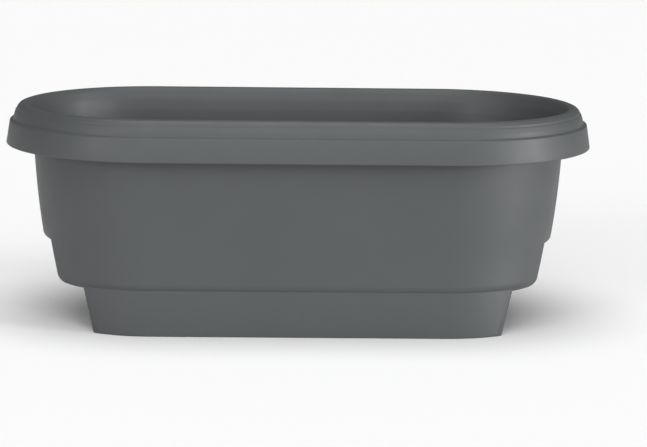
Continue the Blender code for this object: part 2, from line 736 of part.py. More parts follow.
def make_gauge_tube(parts, tools, paints):
    """Gauge tube: slotted below the platform, plain above it, with a spigot for the window."""
    seat = PLATE_TOP + GAP
    bore = GAUGE_R - GAUGE_WALL
    spigot = bore + GAUGE_SPIGOT
    spigot_top = GAUGE_JOIN_Z + GAUGE_SPIGOT_H
    floor = GAUGE_LOW_Z + GAUGE_WALL
    profile = [(GAUGE_R, GAUGE_LOW_Z), (GAUGE_R, seat), (GAUGE_COLLAR_R, seat)]
    profile += [(GAUGE_COLLAR_R, seat + COLLAR_H), (GAUGE_R, seat + COLLAR_H)]
    profile += [(GAUGE_R, GAUGE_JOIN_Z), (spigot, GAUGE_JOIN_Z), (spigot, spigot_top)]
    profile += [(bore, spigot_top), (bore, floor), (GAUGE_FLOOR_R, floor), (GAUGE_FLOOR_R, GAUGE_LOW_Z)]
    tube = lathe("gauge_tube", GAUGE_X, GAUGE_Y, profile, 16, True, parts)
    for low_z, high_z in GAUGE_SLOTS:
        slots = cross_slots(GAUGE_X, GAUGE_Y, GAUGE_SLOT_REACH, GAUGE_SLOT_HALF, low_z, high_z, tools)
        combine(tube, slots, "DIFFERENCE")
    return finish(tube, paints["black_plastic"])


def make_gauge_window(parts, paints):
    """Clear tube that shows the flag of the float."""
    low = GAUGE_JOIN_Z + GAP
    bore = GAUGE_R - GAUGE_SPIGOT
    step = GAUGE_JOIN_Z + GAUGE_SPIGOT_H + GAP
    profile = [(GAUGE_R, low), (GAUGE_R, WINDOW_TOP_Z), (WINDOW_BORE_R, WINDOW_TOP_Z), (WINDOW_BORE_R, step)]
    profile += [(bore, step), (bore, low)]
    window = lathe("gauge_window", GAUGE_X, GAUGE_Y, profile, 16, True, parts)
    return finish(window, paints["clear_plastic"])


def make_gauge_cap(parts, paints):
    """Cap that slips over the top of the window."""
    ceiling = CAP_TOP - CAP_THICK
    bore = GAUGE_R + GAP
    profile = [(CAP_R, CAP_LOW), (CAP_R, CAP_TOP - CAP_EDGE), (CAP_R - CAP_EDGE, CAP_TOP)]
    profile += [(CAP_VENT_R, CAP_TOP), (CAP_VENT_R, ceiling), (bore, ceiling), (bore, CAP_LOW)]
    return finish(lathe("gauge_cap", GAUGE_X, GAUGE_Y, profile, 16, True, parts), paints["black_plastic"])


def make_gauge_float(parts, paints):
    """Foam float with a bore for the stem's spigot."""
    top = FLOAT_LOW + FLOAT_H
    bore = STEM_R + GAP
    profile = [(FLOAT_EDGE_R, FLOAT_LOW), (FLOAT_R, FLOAT_LOW + FLOAT_EDGE), (FLOAT_R, top - FLOAT_EDGE)]
    profile += [(FLOAT_EDGE_R, top), (bore, top), (bore, FLOAT_LOW)]
    return finish(lathe("gauge_float", GAUGE_X, GAUGE_Y, profile, 16, True, parts), paints["white_foam"])


def make_gauge_stem(parts, paints):
    """Stem through the float with a flag at its head."""
    collar = FLOAT_LOW + FLOAT_H + GAP
    profile = [(STEM_R, FLOAT_LOW - STEM_BELOW), (STEM_R, collar), (STEM_COLLAR_R, collar)]
    profile += [(STEM_COLLAR_R, collar + STEM_COLLAR_H), (STEM_R, collar + STEM_COLLAR_H), (STEM_R, FLAG_LOW)]
    profile += [(FLAG_R, FLAG_LOW), (FLAG_R, FLAG_TOP - FLAG_EDGE), (FLAG_R - FLAG_EDGE, FLAG_TOP)]
    stem = finish(lathe("gauge_stem", GAUGE_X, GAUGE_Y, profile, 12, False, parts), paints["red_plastic"])
    move_origin(stem, (GAUGE_X, GAUGE_Y, FLOAT_LOW))
    return stem


def make_overflow_pipe(name, y, parts, paints):
    """Standpipe whose top sets the highest water level."""
    profile = [(PIPE_R, PIPE_LOW), (PIPE_R, PIPE_TOP), (PIPE_BORE, PIPE_TOP), (PIPE_BORE, PIPE_LOW)]
    return finish(lathe(name, OVERFLOW_X, y, profile, 16, True, parts), paints["grey_plastic"])


def make_overflow_grommet(name, y, parts, paints):
    """Rubber grommet between a standpipe and the floor of a foot."""
    bore = PIPE_R + GAP
    upper = BOSS_TOP + GAP
    lower = RECESS_TOP - GAP
    profile = [(bore, lower - GROMMET_LOW_H), (GROMMET_LOW_R, lower - GROMMET_LOW_H), (GROMMET_LOW_R, lower)]
    profile += [(GROMMET_NECK_R, lower), (GROMMET_NECK_R, upper), (GROMMET_TOP_R, upper)]
    profile += [(GROMMET_TOP_R, upper + GROMMET_TOP_H), (bore, upper + GROMMET_TOP_H)]
    return finish(lathe(name, OVERFLOW_X, y, profile, 16, True, parts), paints["black_rubber"])


def make_overflow_strainer(name, y, parts, tools, paints):
    """Slotted cap over the mouth of a standpipe."""
    bore = PIPE_R + GAP
    ceiling = STRAINER_TOP - STRAINER_THICK
    edge_r = STRAINER_R - STRAINER_EDGE
    profile = [(bore, STRAINER_LOW), (STRAINER_R, STRAINER_LOW), (STRAINER_R, STRAINER_TOP - STRAINER_EDGE)]
    profile += [(edge_r, STRAINER_TOP), (STRAINER_VENT_R, STRAINER_TOP), (STRAINER_VENT_R, ceiling)]
    profile.append((bore, ceiling))
    cap = lathe(name, OVERFLOW_X, y, profile, 16, True, parts)
    low_z, high_z = STRAINER_SLOTS
    slots = cross_slots(OVERFLOW_X, y, STRAINER_SLOT_REACH, STRAINER_SLOT_HALF, low_z, high_z, tools)
    combine(cap, slots, "DIFFERENCE")
    return finish(cap, paints["black_plastic"])


def make_drain_plug(name, y, parts, tools, paints):
    """Quarter-turn plug with two lugs and a coin slot."""
    head_top = RECESS_TOP - GAP - SEAL_H - GAP
    seat = BOSS_TOP + GAP
    top = seat + PLUG_NECK_H
    profile = [(PLUG_HEAD_R - PLUG_HEAD_EDGE, PLUG_LOW_Z), (PLUG_HEAD_R, PLUG_LOW_Z + PLUG_HEAD_EDGE)]
    profile += [(PLUG_HEAD_R, head_top), (PLUG_NECK_R, head_top), (PLUG_NECK_R, top)]
    plug = lathe(name, DRAIN_X, y, profile, 16, False, parts)
    low = (DRAIN_X - LUG_REACH, y - LUG_HALF, seat)
    high = (DRAIN_X + LUG_REACH, y + LUG_HALF, top - LUG_DROP)
    combine(plug, box("lugs", low, high, tools), "UNION")
    low = (DRAIN_X - COIN_REACH, y - COIN_HALF, -PASS)
    high = (DRAIN_X + COIN_REACH, y + COIN_HALF, COIN_TOP)
    combine(plug, box("coin_slot", low, high, tools), "DIFFERENCE")
    plug = finish(plug, paints["grey_plastic"])
    move_origin(plug, (DRAIN_X, y, BOSS_TOP))
    return plug


def make_drain_seal(name, y, parts, paints):
    """Rubber washer round the neck of a drain plug."""
    top = RECESS_TOP - GAP
    profile = [(SEAL_BORE_R, top - SEAL_H), (SEAL_R, top - SEAL_H), (SEAL_R, top), (SEAL_BORE_R, top)]
    return finish(lathe(name, DRAIN_X, y, profile, 16, True, parts), paints["black_rubber"])


def build():
    """Makes every piece of the planter."""
    clear_scene()
    parts = make_collection("self_watering_planter", False)
    tools = make_collection("cutters", True)
    paints = {name: paint(name, *values) for name, values in PAINTS.items()}
    make_shell(parts, tools, paints)
    for word, side in (("left", -1), ("right", 1)):
        make_platform("platform_" + word, side, parts, tools, paints)
        make_cup("wick_cup_front_" + word, side * CUP_X, -CUP_Y, parts, tools, paints)
        make_cup("wick_cup_rear_" + word, side * CUP_X, CUP_Y, parts, tools, paints)
    make_fill_tube(parts, tools, paints)
    make_fill_strainer(parts, tools, paints)
    make_fill_lid(parts, tools, paints)
    make_lid_pin(parts, paints)
    make_gauge_tube(parts, tools, paints)
    make_gauge_window(parts, paints)
    make_gauge_cap(parts, paints)
    make_gauge_float(parts, paints)
    make_gauge_stem(parts, paints)
    for word, side in (("front", -1), ("rear", 1)):
        y = side * TROUGH_Y
        make_overflow_pipe("overflow_pipe_" + word, y, parts, paints)
        make_overflow_grommet("overflow_grommet_" + word, y, parts, paints)
        make_overflow_strainer("overflow_strainer_" + word, y, parts, tools, paints)
        make_drain_plug("drain_plug_" + word, y, parts, tools, paints)
        make_drain_seal("drain_seal_" + word, y, parts, paints)


build()
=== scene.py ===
"""Looks of the self-watering deck rail planter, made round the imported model. Metres, +Z up, front -Y."""
import json
import math

import bmesh
import bpy
from mathutils import Matrix, Vector


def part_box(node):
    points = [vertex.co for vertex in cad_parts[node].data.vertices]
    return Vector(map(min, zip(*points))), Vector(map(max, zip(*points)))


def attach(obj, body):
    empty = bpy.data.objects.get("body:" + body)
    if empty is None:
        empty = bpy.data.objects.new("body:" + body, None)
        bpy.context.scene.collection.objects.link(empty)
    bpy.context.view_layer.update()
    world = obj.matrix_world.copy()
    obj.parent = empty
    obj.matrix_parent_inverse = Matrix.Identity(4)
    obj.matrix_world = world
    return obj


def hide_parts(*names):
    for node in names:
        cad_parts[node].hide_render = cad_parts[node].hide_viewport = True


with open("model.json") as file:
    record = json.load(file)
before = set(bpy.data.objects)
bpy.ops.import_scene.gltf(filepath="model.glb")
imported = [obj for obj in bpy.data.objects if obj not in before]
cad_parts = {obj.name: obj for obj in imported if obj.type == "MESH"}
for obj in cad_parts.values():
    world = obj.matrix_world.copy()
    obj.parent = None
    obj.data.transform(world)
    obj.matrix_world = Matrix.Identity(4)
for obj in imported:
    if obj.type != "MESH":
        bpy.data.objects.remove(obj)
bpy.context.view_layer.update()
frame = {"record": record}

# Fineness of the meshes
END_STEPS = 72
ROUND_STEPS = 48
SMALL_STEPS = 32
FILLET_STEPS = 5
BLOCK_SEGMENTS = 3
BARREL_EDGE = 0.0003
SHARP_ANGLE = math.radians(32)
BEVEL_ANGLE = math.radians(35)
LONGEST_FILLET = 0.49
MERGE = 0.00001

# Tub outline and wall
STRAIGHT_HALF = 0.151
WALL = 0.003
TOP_WALL_Z = 0.185
TOP_WALL_R = 0.1253
WALL_BREAK_Z = 0.088
FOOT_R_LOW = 0.110
FOOT_R_HIGH = 0.1105
TIER_ROUND_R = 0.1130
TIER_ROUND_Z = 0.0555
TIER_CREASE = -41.4
FOOT_CREASE_Z = 0.0476
FOOT_INNER_Z = 0.0445
WALL_LEVELS = 12

# Saddle
NARROW_Z = 0.087
NARROW_HALF = 0.050
NARROW_DRAFT = 0.23
NARROW_ROUND = 0.0055
WIDE_Z = 0.0435
WIDE_HALF = 0.075
WIDE_DRAFT = 0.10
WIDE_ROUND = 0.012
FOOT_END_X = 0.2195
FOOT_END_DRAFT = 0.23
FOOT_CORNER = 0.009

# Gap between pieces that touch
GAP = 0.0003


# ---------------------------------------------------------------- mesh helpers

def new_object(name, mesh):
    """Links a mesh as an object of the scene."""
    made = bpy.data.objects.new(name, mesh)
    bpy.context.scene.collection.objects.link(made)
    return made


def mesh_from_rings(name, rings, closed):
    """Lofts rings of equal length; closed joins the last ring to the first, else both ends are capped."""
    work = bmesh.new()
    rows = [[work.verts.new(point) for point in ring] for ring in rings]
    count = len(rings[0])
    pairs = list(zip(rows, rows[1:]))
    if closed:
        pairs.append((rows[-1], rows[0]))
    else:
        work.faces.new(rows[0])
        work.faces.new(list(reversed(rows[-1])))
    for low, high in pairs:
        for i in range(count):
            j = (i + 1) % count
            work.faces.new((low[i], low[j], high[j], high[i]))
    bmesh.ops.recalc_face_normals(work, faces=work.faces)
    mesh = bpy.data.meshes.new(name)
    work.to_mesh(mesh)
    work.free()
    return mesh


def rounded(corners, closed=False):
    """Turns corners (r, z) or (r, z, fillet) into a path whose named corners are arcs."""
    path = []
    count = len(corners)
    for i, corner in enumerate(corners):
        here = Vector(corner[:2])
        at_end = not closed and i in (0, count - 1)
        if len(corner) < 3 or at_end:
            path.append(tuple(here))
            continue
        back = Vector(corners[i - 1][:2]) - here
        ahead = Vector(corners[(i + 1) % count][:2]) - here
        half = back.angle(ahead) / 2
        reach = min(corner[2] / math.tan(half), back.length * LONGEST_FILLET, ahead.length * LONGEST_FILLET)
        radius = reach * math.tan(half)
        middle = here + (back.normalized() + ahead.normalized()).normalized() * radius / math.sin(half)
        start = here + back.normalized() * reach - middle
        end = here + ahead.normalized() * reach - middle
        sweep = start.angle_signed(end)
        for step in range(FILLET_STEPS + 1):
            turn = -sweep * step / FILLET_STEPS
            spoke = Vector((start.x * math.cos(turn) - start.y * math.sin(turn),
                            start.x * math.sin(turn) + start.y * math.cos(turn)))
            path.append(tuple(middle + spoke))
    return path


def stadium(radius, z):
    """Ring of points round the tub outline."""
    ring = []
    for side in (1, -1):
        for i in range(END_STEPS + 1):
            angle = -math.pi / 2 + math.pi * i / END_STEPS
            x = side * (STRAIGHT_HALF + radius * math.cos(angle))
            ring.append((x, side * radius * math.sin(angle), z))
    return ring


def circle(x, y, radius, z, steps):
    """Ring of points about an upright axis."""
    turn = 2 * math.pi / steps
    return [(x + radius * math.cos(turn * i), y + radius * math.sin(turn * i), z) for i in range(steps)]


def lathe(name, x, y, corners, closed, steps=ROUND_STEPS):
    """Turns a path of corners about an upright axis."""
    rings = [circle(x, y, radius, z, steps) for radius, z in rounded(corners, closed)]
    return new_object(name, mesh_from_rings(name, rings, closed))


def block(name, low, high, edge=0.0):
    """Box between two corners, with its edges rounded where edge is given."""
    (x0, y0, z0), (x1, y1, z1) = low, high
    rings = [[(x0, y0, z), (x1, y0, z), (x1, y1, z), (x0, y1, z)] for z in (z0, z1)]
    made = new_object(name, mesh_from_rings(name, rings, False))
    if edge:
        soften(made, edge, BLOCK_SEGMENTS)
    return made


def barrel(name, x, y, z, radius, half, edge=BARREL_EDGE):
    """Cylinder along Y with rounded rims."""
    inner = radius - edge
    rings = []
    for offset, reach in ((-half, inner), (-half + edge, radius), (half - edge, radius), (half, inner)):
        ring = []
        for i in range(SMALL_STEPS):
            angle = 2 * math.pi * i / SMALL_STEPS
            ring.append((x + reach * math.cos(angle), y + offset, z + reach * math.sin(angle)))
        rings.append(ring)
    return new_object(name, mesh_from_rings(name, rings, False))


def settle(item):
    """Applies the modifiers of an object to its mesh."""
    graph = bpy.context.evaluated_depsgraph_get()
    mesh = bpy.data.meshes.new_from_object(item.evaluated_get(graph))
    item.modifiers.clear()
    old = item.data
    item.data = mesh
    bpy.data.meshes.remove(old)


def combine(target, tool, operation):
    """Applies one exact Boolean and removes the tool."""
    change = target.modifiers.new(operation, "BOOLEAN")
    change.operation = operation
    change.solver = "EXACT"
    change.object = tool
    settle(target)
    used = tool.data
    bpy.data.objects.remove(tool, do_unlink=True)
    bpy.data.meshes.remove(used)


def soften(item, width, segments=2):
    """Rounds the sharp edges of an object."""
    change = item.modifiers.new("soft", "BEVEL")
    change.width = width
    change.segments = segments
    change.limit_method = "ANGLE"
    change.angle_limit = BEVEL_ANGLE
    change.use_clamp_overlap = True
    settle(item)


def tidy_mesh(item):
    """Merges doubled points and shades the mesh smooth between sharp edges."""
    work = bmesh.new()
    work.from_mesh(item.data)
    bmesh.ops.remove_doubles(work, verts=work.verts, dist=MERGE)
    bmesh.ops.recalc_face_normals(work, faces=work.faces)
    work.to_mesh(item.data)
    work.free()
    item.data.shade_smooth()
    item.data.set_sharp_from_angle(angle=SHARP_ANGLE)


def place(item, node, body, material):
    """Finishes a piece: it stands for a CAD node, rides on its body and takes its material."""
    tidy_mesh(item)
    item.data.materials.clear()
    item.data.materials.append(material)
    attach(item, body)
    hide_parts(node)


def middle_of(node):
    """Middle of a node in plan."""
    low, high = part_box(node)
    return (low.x + high.x) / 2, (low.y + high.y) / 2


# ---------------------------------------------------------------- materials

DRIFT_SCALE = 9.0
DRIFT_DETAIL = 3.0
SHEEN_SCALE = 38.0
SHEEN_DETAIL = 4.0
GRAIN_DETAIL = 2.0
NOISE_RANGE = (0.3, 0.7)
TONE = 0.05
SPREAD = 0.05
SPECULAR = 0.5
GRAIN_STRENGTH = 0.6
FOAM_ROUGH = 0.75
FOAM_CELLS = 1100.0
FOAM_STRENGTH = 0.7
FOAM_DEPTH = 0.0002
CLEAR_IOR = 1.49


def add_node(tree, kind, **values):
    """Adds a shader node and sets its plain properties."""
    made = tree.nodes.new(kind)
    for key, value in values.items():
        setattr(made, key, value)
    return made


def noise(tree, scale, detail):
    """Noise over object coordinates."""
    where = add_node(tree, "ShaderNodeTexCoord")
    made = add_node(tree, "ShaderNodeTexNoise")
    made.inputs["Scale"].default_value = scale
    made.inputs["Detail"].default_value = detail
    tree.links.new(where.outputs["Object"], made.inputs["Vector"])
    return made.outputs["Fac"]


def ramp(tree, source, low, high):
    """Spreads the middle of a noise over the range low to high."""
    made = add_node(tree, "ShaderNodeMapRange")
    made.inputs["From Min"].default_value, made.inputs["From Max"].default_value = NOISE_RANGE
    made.inputs["To Min"].default_value = low
    made.inputs["To Max"].default_value = high
    tree.links.new(source, made.inputs["Value"])
    return made.outputs["Result"]


def coloured(name, colour, rough, tone=TONE, spread=SPREAD, specular=SPECULAR):
    """Material with a slight tone drift and an uneven sheen."""
    made = bpy.data.materials.new(name)
    made.use_nodes = True
    tree = made.node_tree
    shader = tree.nodes["Principled BSDF"]
    shader.inputs["Specular IOR Level"].default_value = specular
    mix = add_node(tree, "ShaderNodeMix", data_type="RGBA")
    mix.inputs["A"].default_value = (*[c * (1 - tone) for c in colour], 1.0)
    mix.inputs["B"].default_value = (*[c * (1 + tone) for c in colour], 1.0)
    drift = noise(tree, DRIFT_SCALE, DRIFT_DETAIL)
    tree.links.new(ramp(tree, drift, 0.0, 1.0), mix.inputs["Factor"])
    tree.links.new(mix.outputs["Result"], shader.inputs["Base Color"])
    sheen = noise(tree, SHEEN_SCALE, SHEEN_DETAIL)
    tree.links.new(ramp(tree, sheen, rough - spread, rough + spread), shader.inputs["Roughness"])
    return made


def roughen(material, height, strength, depth):
    """Gives a material a bump that follows a height."""
    tree = material.node_tree
    bump = add_node(tree, "ShaderNodeBump")
    bump.inputs["Strength"].default_value = strength
    bump.inputs["Distance"].default_value = depth
    tree.links.new(height, bump.inputs["Height"])
    tree.links.new(bump.outputs["Normal"], tree.nodes["Principled BSDF"].inputs["Normal"])


def moulded(name, colour, rough, grain, depth, **more):
    """Moulded plastic or rubber with a fine grain; more may set tone, spread and specular."""
    made = coloured(name, colour, rough, **more)
    roughen(made, noise(made.node_tree, grain, GRAIN_DETAIL), GRAIN_STRENGTH, depth)
    return made


def foam(name, colour):
    """Closed-cell foam with fine cells."""
    made = coloured(name, colour, FOAM_ROUGH)
    tree = made.node_tree
    where = add_node(tree, "ShaderNodeTexCoord")
    cells = add_node(tree, "ShaderNodeTexVoronoi")
    cells.inputs["Scale"].default_value = FOAM_CELLS
    tree.links.new(where.outputs["Object"], cells.inputs["Vector"])
    roughen(made, cells.outputs["Distance"], FOAM_STRENGTH, FOAM_DEPTH)
    return made


def clear(name, colour):
    """Clear moulded plastic with a faint haze."""
    made = moulded(name, colour, rough=0.06, grain=700.0, depth=0.00002, tone=0.02, spread=0.03)
    shader = made.node_tree.nodes["Principled BSDF"]
    shader.inputs["Transmission Weight"].default_value = 1.0
    shader.inputs["IOR"].default_value = CLEAR_IOR
    return made


def steel_wire(name, colour):
    """Drawn steel with a fine grain."""
    made = moulded(name, colour, rough=0.3, grain=500.0, depth=0.00004)
    made.node_tree.nodes["Principled BSDF"].inputs["Metallic"].default_value = 1.0
    return made


# ---------------------------------------------------------------- planter shell

# Section of the shell, as corners (r, z) or (r, z, fillet)
RIM_HOLLOW = [
    (0.1262, 0.200), (0.1280, 0.2115, 0.012), (0.1342, 0.2236, 0.004), (0.1405, 0.2204, 0.002),
    (0.1428, 0.2170, 0.003), (0.1446, 0.2105, 0.001), (0.1482, 0.2060, 0.002),
]
SKIRT = [(0.1510, 0.1850, 0.0007), (0.1540, 0.1850, 0.0010), (0.1502, 0.2092, 0.0012)]
BAND = [(0.1467, 0.2104, 0.0006), (0.1457, 0.2150, 0.004)]
GROOVE = [(0.1440, 0.2200, 0.0006), (0.1431, 0.2203, 0.0003)]
CROWN = [
    (0.1424, 0.2228, 0.003), (0.1400, 0.2254, 0.0030), (0.1366, 0.2267, 0.004), (0.1314, 0.2261, 0.0026),
]
RIM_INSIDE = [(0.1293, 0.2222, 0.010), (0.1262, 0.2140, 0.03), (0.1240, 0.2030, 0.03), (0.1229, 0.1930)]
BASE_STEP = 0.004
BASE_EDGE = 0.0016
FLOOR_STEP = 0.006
FLOOR_FILLET = 0.002
FOOT_FILLET = 0.004
TIER_STEPS = 6

# The tub wall leans by WALL_SLOPE and bows by WALL_BOW over WALL_SPAN of height
WALL_SPAN = 0.1
WALL_SLOPE = 0.00425
WALL_BOW = 0.00585

# Cutters of the saddle
CUT_BELOW = 0.012
CUT_RISE = 0.018
NARROW_REACH = 0.290
WIDE_REACH = 0.280
LEAST_ROUND = 0.001
NARROW_TURN = 15
NARROW_TURNS = 6
WIDE_TURN = 9
WIDE_TURNS = 5
PLUG_FLARE = 0.008
PLUG_STEP = 0.005
PLUG_HEIGHT = 0.045
FOOT_CUT_BELOW = 0.014
FOOT_CUT_ABOVE = 0.020
FOOT_CUT_PAST = 0.00008
FOOT_CORNER_STEPS = 8
FOOT_RUN_OUT = 0.05
FOOT_RUN_TURN = 0.10
CUT_OUT = 0.3
CUT_SIDE = 0.2
TRIM_HEIGHTS = (0.088, 0.112)

# Bosses under the overflow grommets and the drain plugs
BOSS_PATH = [(0.013, WALL / 2), (0.013, 0.008, 0.001), (0.011, 0.008)]
RECESS_PATH = [(0.010, -0.002), (0.010, 0.005, 0.0006), (0.009, 0.005)]
DRAIN_HOLE_R = {"overflow_grommet_": 0.007, "drain_plug_": 0.0062}
DRAIN_HOLE_ENDS = (0.003, 0.012)
NOTCH_HALF = (0.0022, 0.0089)
NOTCH_ENDS = (0.0025, 0.0125)


def wall_radius(z):
    """Outer radius of the tub wall above the feet."""
    if z < WALL_BREAK_Z:
        share = (z - TIER_ROUND_Z) / (WALL_BREAK_Z - TIER_ROUND_Z)
        return TIER_ROUND_R + share * (wall_radius(WALL_BREAK_Z) - TIER_ROUND_R)
    s = (TOP_WALL_Z - z) / WALL_SPAN
    return TOP_WALL_R - WALL_SLOPE * s - WALL_BOW * s * s


def tier_round(angle, radius):
    """Point on the rounded lower edge of the middle tier."""
    turn = math.radians(angle)
    return (TIER_ROUND_R - WIDE_ROUND + radius * math.cos(turn), TIER_ROUND_Z + radius * math.sin(turn))


def wall_heights():
    """Heights of the rings along the wall."""
    step = (TOP_WALL_Z - WALL_BREAK_Z) / WALL_LEVELS
    return [WALL_BREAK_Z + step * i for i in range(WALL_LEVELS + 1)]


def shell_path():
    """Section of the shell: ground, outer wall, hollow rim, crown, inner wall and floor."""
    crease_r, crease_z = tier_round(TIER_CREASE, WIDE_ROUND)
    path = [(FOOT_R_LOW - BASE_STEP, 0.0), (FOOT_R_LOW, 0.0, BASE_EDGE), (crease_r, crease_z)]
    path += [tier_round(TIER_CREASE * (1 - i / TIER_STEPS), WIDE_ROUND) for i in range(1, TIER_STEPS + 1)]
    path += [(wall_radius(z), z) for z in wall_heights()]
    path += RIM_HOLLOW + SKIRT + BAND + GROOVE + CROWN + RIM_INSIDE
    path += [(wall_radius(z) - WALL, z) for z in reversed(wall_heights())]
    path += [(TIER_ROUND_R - WALL, TIER_ROUND_Z), (FOOT_R_HIGH - WALL, FOOT_INNER_Z, FOOT_FILLET)]
    path += [(FOOT_R_LOW - WALL, WALL, FLOOR_FILLET), (FOOT_R_LOW - WALL - FLOOR_STEP, WALL)]
    return rounded(path)


def plug_on_ceiling(low, ceiling):
    """Solid above a channel ceiling, with the rounded edge that the channel leaves."""
    profile = list(low)
    last_r, last_z = profile[-1]
    profile.append((last_r + PLUG_FLARE, last_z + PLUG_STEP))
    profile.append((last_r + PLUG_FLARE, ceiling + PLUG_HEIGHT))
    return new_object("plug", mesh_from_rings("plug", [stadium(r, z) for r, z in profile], False))


def channel(half, draft, ceiling, reach):
    """Prism along X whose sides lean out downwards."""
    low_z = -CUT_BELOW
    high_z = ceiling + CUT_RISE
    low = half + draft * (ceiling - low_z)
    high = half - draft * CUT_RISE
    rings = []
    for x in (-reach, reach):
        rings.append([(x, -low, low_z), (x, low, low_z), (x, high, high_z), (x, -high, high_z)])
    return new_object("channel", mesh_from_rings("channel", rings, False))


def foot_end(side, inset):
    """Block that ends both feet on one side, with round corners that run into the tub wall."""
    rings = []
    corner = FOOT_CORNER - inset
    for z in (-FOOT_CUT_BELOW, WIDE_Z + FOOT_CUT_ABOVE + inset):
        near = FOOT_END_X - FOOT_END_DRAFT * (WIDE_Z - z) - inset
        outer = FOOT_R_LOW + (FOOT_R_HIGH - FOOT_R_LOW) * z / WIDE_Z - inset + FOOT_CUT_PAST
        across = near - corner - STRAIGHT_HALF
        along = math.sqrt((outer - corner) ** 2 - across ** 2)
        last = math.atan2(along, across)
        half_ring = []
        for i in range(FOOT_CORNER_STEPS + 1):
            angle = last * i / FOOT_CORNER_STEPS
            half_ring.append((near - corner + corner * math.cos(angle), along + corner * math.sin(angle)))
        away = last + math.pi / 2 - FOOT_RUN_TURN
        x, y = half_ring[-1]
        x += FOOT_RUN_OUT * math.cos(away)
        half_ring += [(x, y + FOOT_RUN_OUT * math.sin(away)), (x, CUT_SIDE), (CUT_OUT, CUT_SIDE)]
        ring = [(x, -y) for x, y in reversed(half_ring)] + half_ring
        rings.append([(side * x, y, z) for x, y in ring])
    return new_object("foot_end", mesh_from_rings("foot_end", rings, False))


def saddle_space(inset):
    """Space below the saddle; a larger inset gives the same space grown by the wall."""
    upper = channel(NARROW_HALF + inset, NARROW_DRAFT, NARROW_Z + inset, NARROW_REACH + inset)
    turn = max(NARROW_ROUND - inset, LEAST_ROUND)
    wall = wall_radius(NARROW_Z + NARROW_ROUND + inset) - inset
    low = []
    for i in range(NARROW_TURNS + 1):
        bend = math.radians(-90 + NARROW_TURN * i)
        low.append((wall - turn + turn * math.cos(bend), NARROW_Z + inset + turn + turn * math.sin(bend)))
    combine(upper, plug_on_ceiling(low, NARROW_Z), "DIFFERENCE")
    lower = channel(WIDE_HALF + inset, WIDE_DRAFT, WIDE_Z + inset, WIDE_REACH + inset)
    combine(lower, foot_end(-1, inset), "UNION")
    combine(lower, foot_end(1, inset), "UNION")
    low = [tier_round(-90 + WIDE_TURN * i, WIDE_ROUND - inset) for i in range(WIDE_TURNS + 1)]
    combine(lower, plug_on_ceiling(low, WIDE_Z), "DIFFERENCE")
    combine(upper, lower, "UNION")
    return upper


def middle_solid():
    """Solid whose side runs inside the tub wall, used to trim the saddle."""
    half = WALL / 2
    profile = [(FOOT_R_LOW - half, half), (FOOT_R_HIGH - half, FOOT_CREASE_Z)]
    profile.append((TIER_ROUND_R - half, TIER_ROUND_Z))
    profile += [(wall_radius(z) - half, z) for z in TRIM_HEIGHTS]
    return new_object("middle", mesh_from_rings("middle", [stadium(r, z) for r, z in profile], False))


def drain_bosses(shell):
    """Bosses, recesses and holes in the floors of the feet."""
    for word in ("front", "rear"):
        for kind, hole_r in DRAIN_HOLE_R.items():
            x, y = middle_of(kind + word)
            combine(shell, lathe("boss", x, y, BOSS_PATH, False), "UNION")
            combine(shell, lathe("recess", x, y, RECESS_PATH, False), "DIFFERENCE")
            hole = lathe("hole", x, y, [(hole_r, z) for z in DRAIN_HOLE_ENDS], False)
            if kind == "drain_plug_":
                low = (x - NOTCH_HALF[0], y - NOTCH_HALF[1], NOTCH_ENDS[0])
                high = (x + NOTCH_HALF[0], y + NOTCH_HALF[1], NOTCH_ENDS[1])
                combine(hole, block("notch", low, high), "UNION")
            combine(shell, hole, "DIFFERENCE")


def make_shell(material):
    """The tub with its rolled rim, saddle and feet."""
    rings = [stadium(radius, z) for radius, z in shell_path()]
    shell = new_object("tub_shell", mesh_from_rings("tub_shell", rings, False))
    walls = saddle_space(WALL)
    combine(walls, middle_solid(), "INTERSECT")
    combine(shell, walls, "UNION")
    combine(shell, saddle_space(0.0), "DIFFERENCE")
    drain_bosses(shell)
    place(shell, "planter_shell", "tub", material)


# ---------------------------------------------------------------- platform and cups

PLATE_THICK = 0.003
PLATE_TAPER = 0.0005
SEAM_HALF = 0.0004
LIP_DEEP = 0.0030
LIP_WIDE = 0.0040
RIB_Y = 0.026
RIB_HALF = 0.0016
RIB_ENDS = (0.018, 0.236)
RIB_EDGE = 0.0005
RIB_CLEAR = 0.001
POST_Y = 0.069
POST_R = 0.004
POST_XS = (0.030, 0.112, 0.196)
POST_CORE_R = 0.0015
POST_EDGE = 0.0008
POST_FLARE = 0.003
POST_FLARE_DEEP = 0.004
SINK = 0.001
END_ARC_STEPS = 48
SLOT_END_STEPS = 8
SLOT_HALF_L = 0.0085
SLOT_HALF_W = 0.0014
SLOT_HALF_DEEP = 0.006
SLOT_STEP_X = 0.026
SLOT_STEP_Y = 0.0210
SLOT_FIRST_X = 0.020
SLOT_COLUMNS = 10
SLOT_ROWS = 5
SLOT_EDGE = 0.0050
SLOT_MARGIN = 0.0012
CUP_HOLE_R = 0.0155
CUP_FLANGE_R = 0.018
FILL_HOLE_R = 0.0153
GAUGE_HOLE_R = 0.0113
COLLAR_R = 0.019
GAUGE_COLLAR_R = 0.0152
HOLE_BELOW = 0.006
HOLE_EDGE = 0.0006
HOLE_FLARE = 0.0012
HOLE_FILLET = 0.0005

# Rounded edges of the plate: inset and lift above the lip, then inset and drop below the top
LIP_RINGS = ((0.0012, 0.0), (0.0004, 0.0006))
TOP_RINGS = ((0.0, 0.0009), (0.0003, 0.0002), (0.0009, 0.0))
POCKET_PAST = 0.001
POCKET_EDGE = 0.0006

